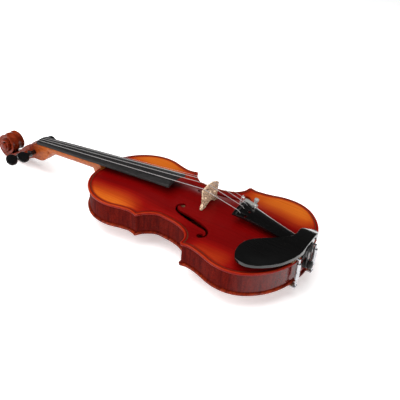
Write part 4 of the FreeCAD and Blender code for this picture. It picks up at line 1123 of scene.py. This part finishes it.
def rib_varnish():
    """Flamed maple with the flames standing across the rib, wherever the rib bends."""
    material, nodes, links, shader = new_material("rib_varnish")
    run = nodes.new("ShaderNodeAttribute")
    run.attribute_name = "run"
    axes = object_axes(nodes, links)
    join = nodes.new("ShaderNodeCombineXYZ")
    links.new(run.outputs["Fac"], join.inputs[0])
    tall = nodes.new("ShaderNodeMath")
    tall.operation = "MULTIPLY"
    tall.inputs[1].default_value = 160.0
    links.new(axes[2], tall.inputs[0])
    links.new(tall.outputs[0], join.inputs[1])
    flame = nodes.new("ShaderNodeTexNoise")
    flame.inputs["Scale"].default_value = 0.22
    flame.inputs["Detail"].default_value = 2.0
    flame.inputs["Distortion"].default_value = 0.3
    links.new(join.outputs[0], flame.inputs["Vector"])
    stripes = tint(nodes, links, flame, [(0.28, (0.058, 0.0016, 0.0010)), (0.72, (0.120, 0.0055, 0.0020))])
    speckle(nodes, links, shader, stripes, 420.0, (1.0, 1.0, 1.0), (0.74, 0.70, 0.68))
    varnish_coat(shader, 0.30, 0.07, 0.16, 0.0)
    shine = map_range(nodes, links, axes[0], SHINE_RANGE)
    links.new(shine, shader.inputs["Coat Weight"])
    return material


# ------------------------------ fittings kept from the frame
DRESS_ANGLE = math.radians(35)


def dress(node, material, bevel=0.0):
    """A frame node shown as it is, with its edges eased and its own finish."""
    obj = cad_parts[node]
    obj.data.materials.clear()
    obj.data.materials.append(material)
    obj.data.polygons.foreach_set("use_smooth", [True] * len(obj.data.polygons))
    obj.data.set_sharp_from_angle(angle=DRESS_ANGLE)
    if bevel:
        modify(obj, "BEVEL", width=bevel * MM, segments=2, limit_method="ANGLE",
               angle_limit=DRESS_ANGLE, harden_normals=False)


def build_all():
    make_camera()
    make_stage()
    spruce = spruce_varnish()
    maple = maple_varnish()
    purfling = (purfling_stain("purfling_wood", (0.020, 0.008, 0.005)),
                purfling_stain("purfling_pale", (0.12, 0.05, 0.018)))
    board_black = ebony("ebony", 0.42, 0.12, 0.016)
    gloss_black = ebony("ebony_polished", 0.30, 1.0, 0.0016)
    holes = sound_hole_loops()
    top, top_line = build_plate("arched_top_plate", "top_plate", "top_purfling_line", "purfling_top",
                                TOP_ARCH, holes, False)
    back, back_line = build_plate("arched_back_plate", "back_plate", "back_purfling_line",
                                  "purfling_back", BACK_ARCH, [], True)
    top.data.materials.append(spruce)
    back.data.materials.append(maple)
    for line in (top_line, back_line):
        for stain in purfling:
            line.data.materials.append(stain)
    build_ribs(rib_varnish())
    neck = build_neck()
    neck.data.materials.append(neck_maple())
    build_fingerboard().data.materials.append(board_black)
    build_pegs(ebony("ebony_pegs", 0.30, 0.8, 0.004))
    steel = wound_string()
    for name in ("g", "d", "a", "e"):
        dress("string_" + name, steel)
        dress("winding_" + name, steel)
    bridge = carved_copy("carved_bridge", "bridge", 0.3, 2)
    bridge.data.materials.append(bridge_maple())
    for node, voxel, rounds in (("tailpiece", 0.4, 4), ("chinrest", 0.5, 8)):
        obj = carved_copy("ebony_" + node, node, voxel, rounds)
        obj.data.materials.append(gloss_black)
    bare_spruce = bare_wood("bare_spruce", (0.50, 0.32, 0.16), (0.66, 0.47, 0.27))
    for node in ("neck_block", "end_block", "corner_blocks", "linings_top", "linings_back", "bass_bar",
                 "sound_post"):
        dress(node, bare_spruce)
    for node in ("nut", "saddle", "end_button", "tailpiece_fret"):
        dress(node, board_black, 0.4)
    dress("string_ball_ends", metal("brass_ball", (0.86, 0.64, 0.32), 0.25))
    dress("tailgut", nylon())
    nickel = metal("nickel", (0.86, 0.85, 0.82), 0.22)
    chrome = metal("chrome", (0.50, 0.50, 0.52), 0.12)
    for node in ("tailgut_nuts", "tuner_frame", "tuner_ring_nut", "tuner_screw", "tuner_knob", "tuner_lever",
                 "tuner_axle", "tuner_ball_end"):
        dress(node, nickel, 0.2)
    cork_pad = cork()
    dress("chinrest_cork", cork_pad, 0.3)
    for side in ("bass", "treble"):
        for part in ("upper_hook", "barrel", "lower_hook"):
            dress("clamp_%s_%s" % (side, part), chrome, 0.25)
        dress("clamp_%s_cork" % side, cork_pad, 0.3)


build_all()
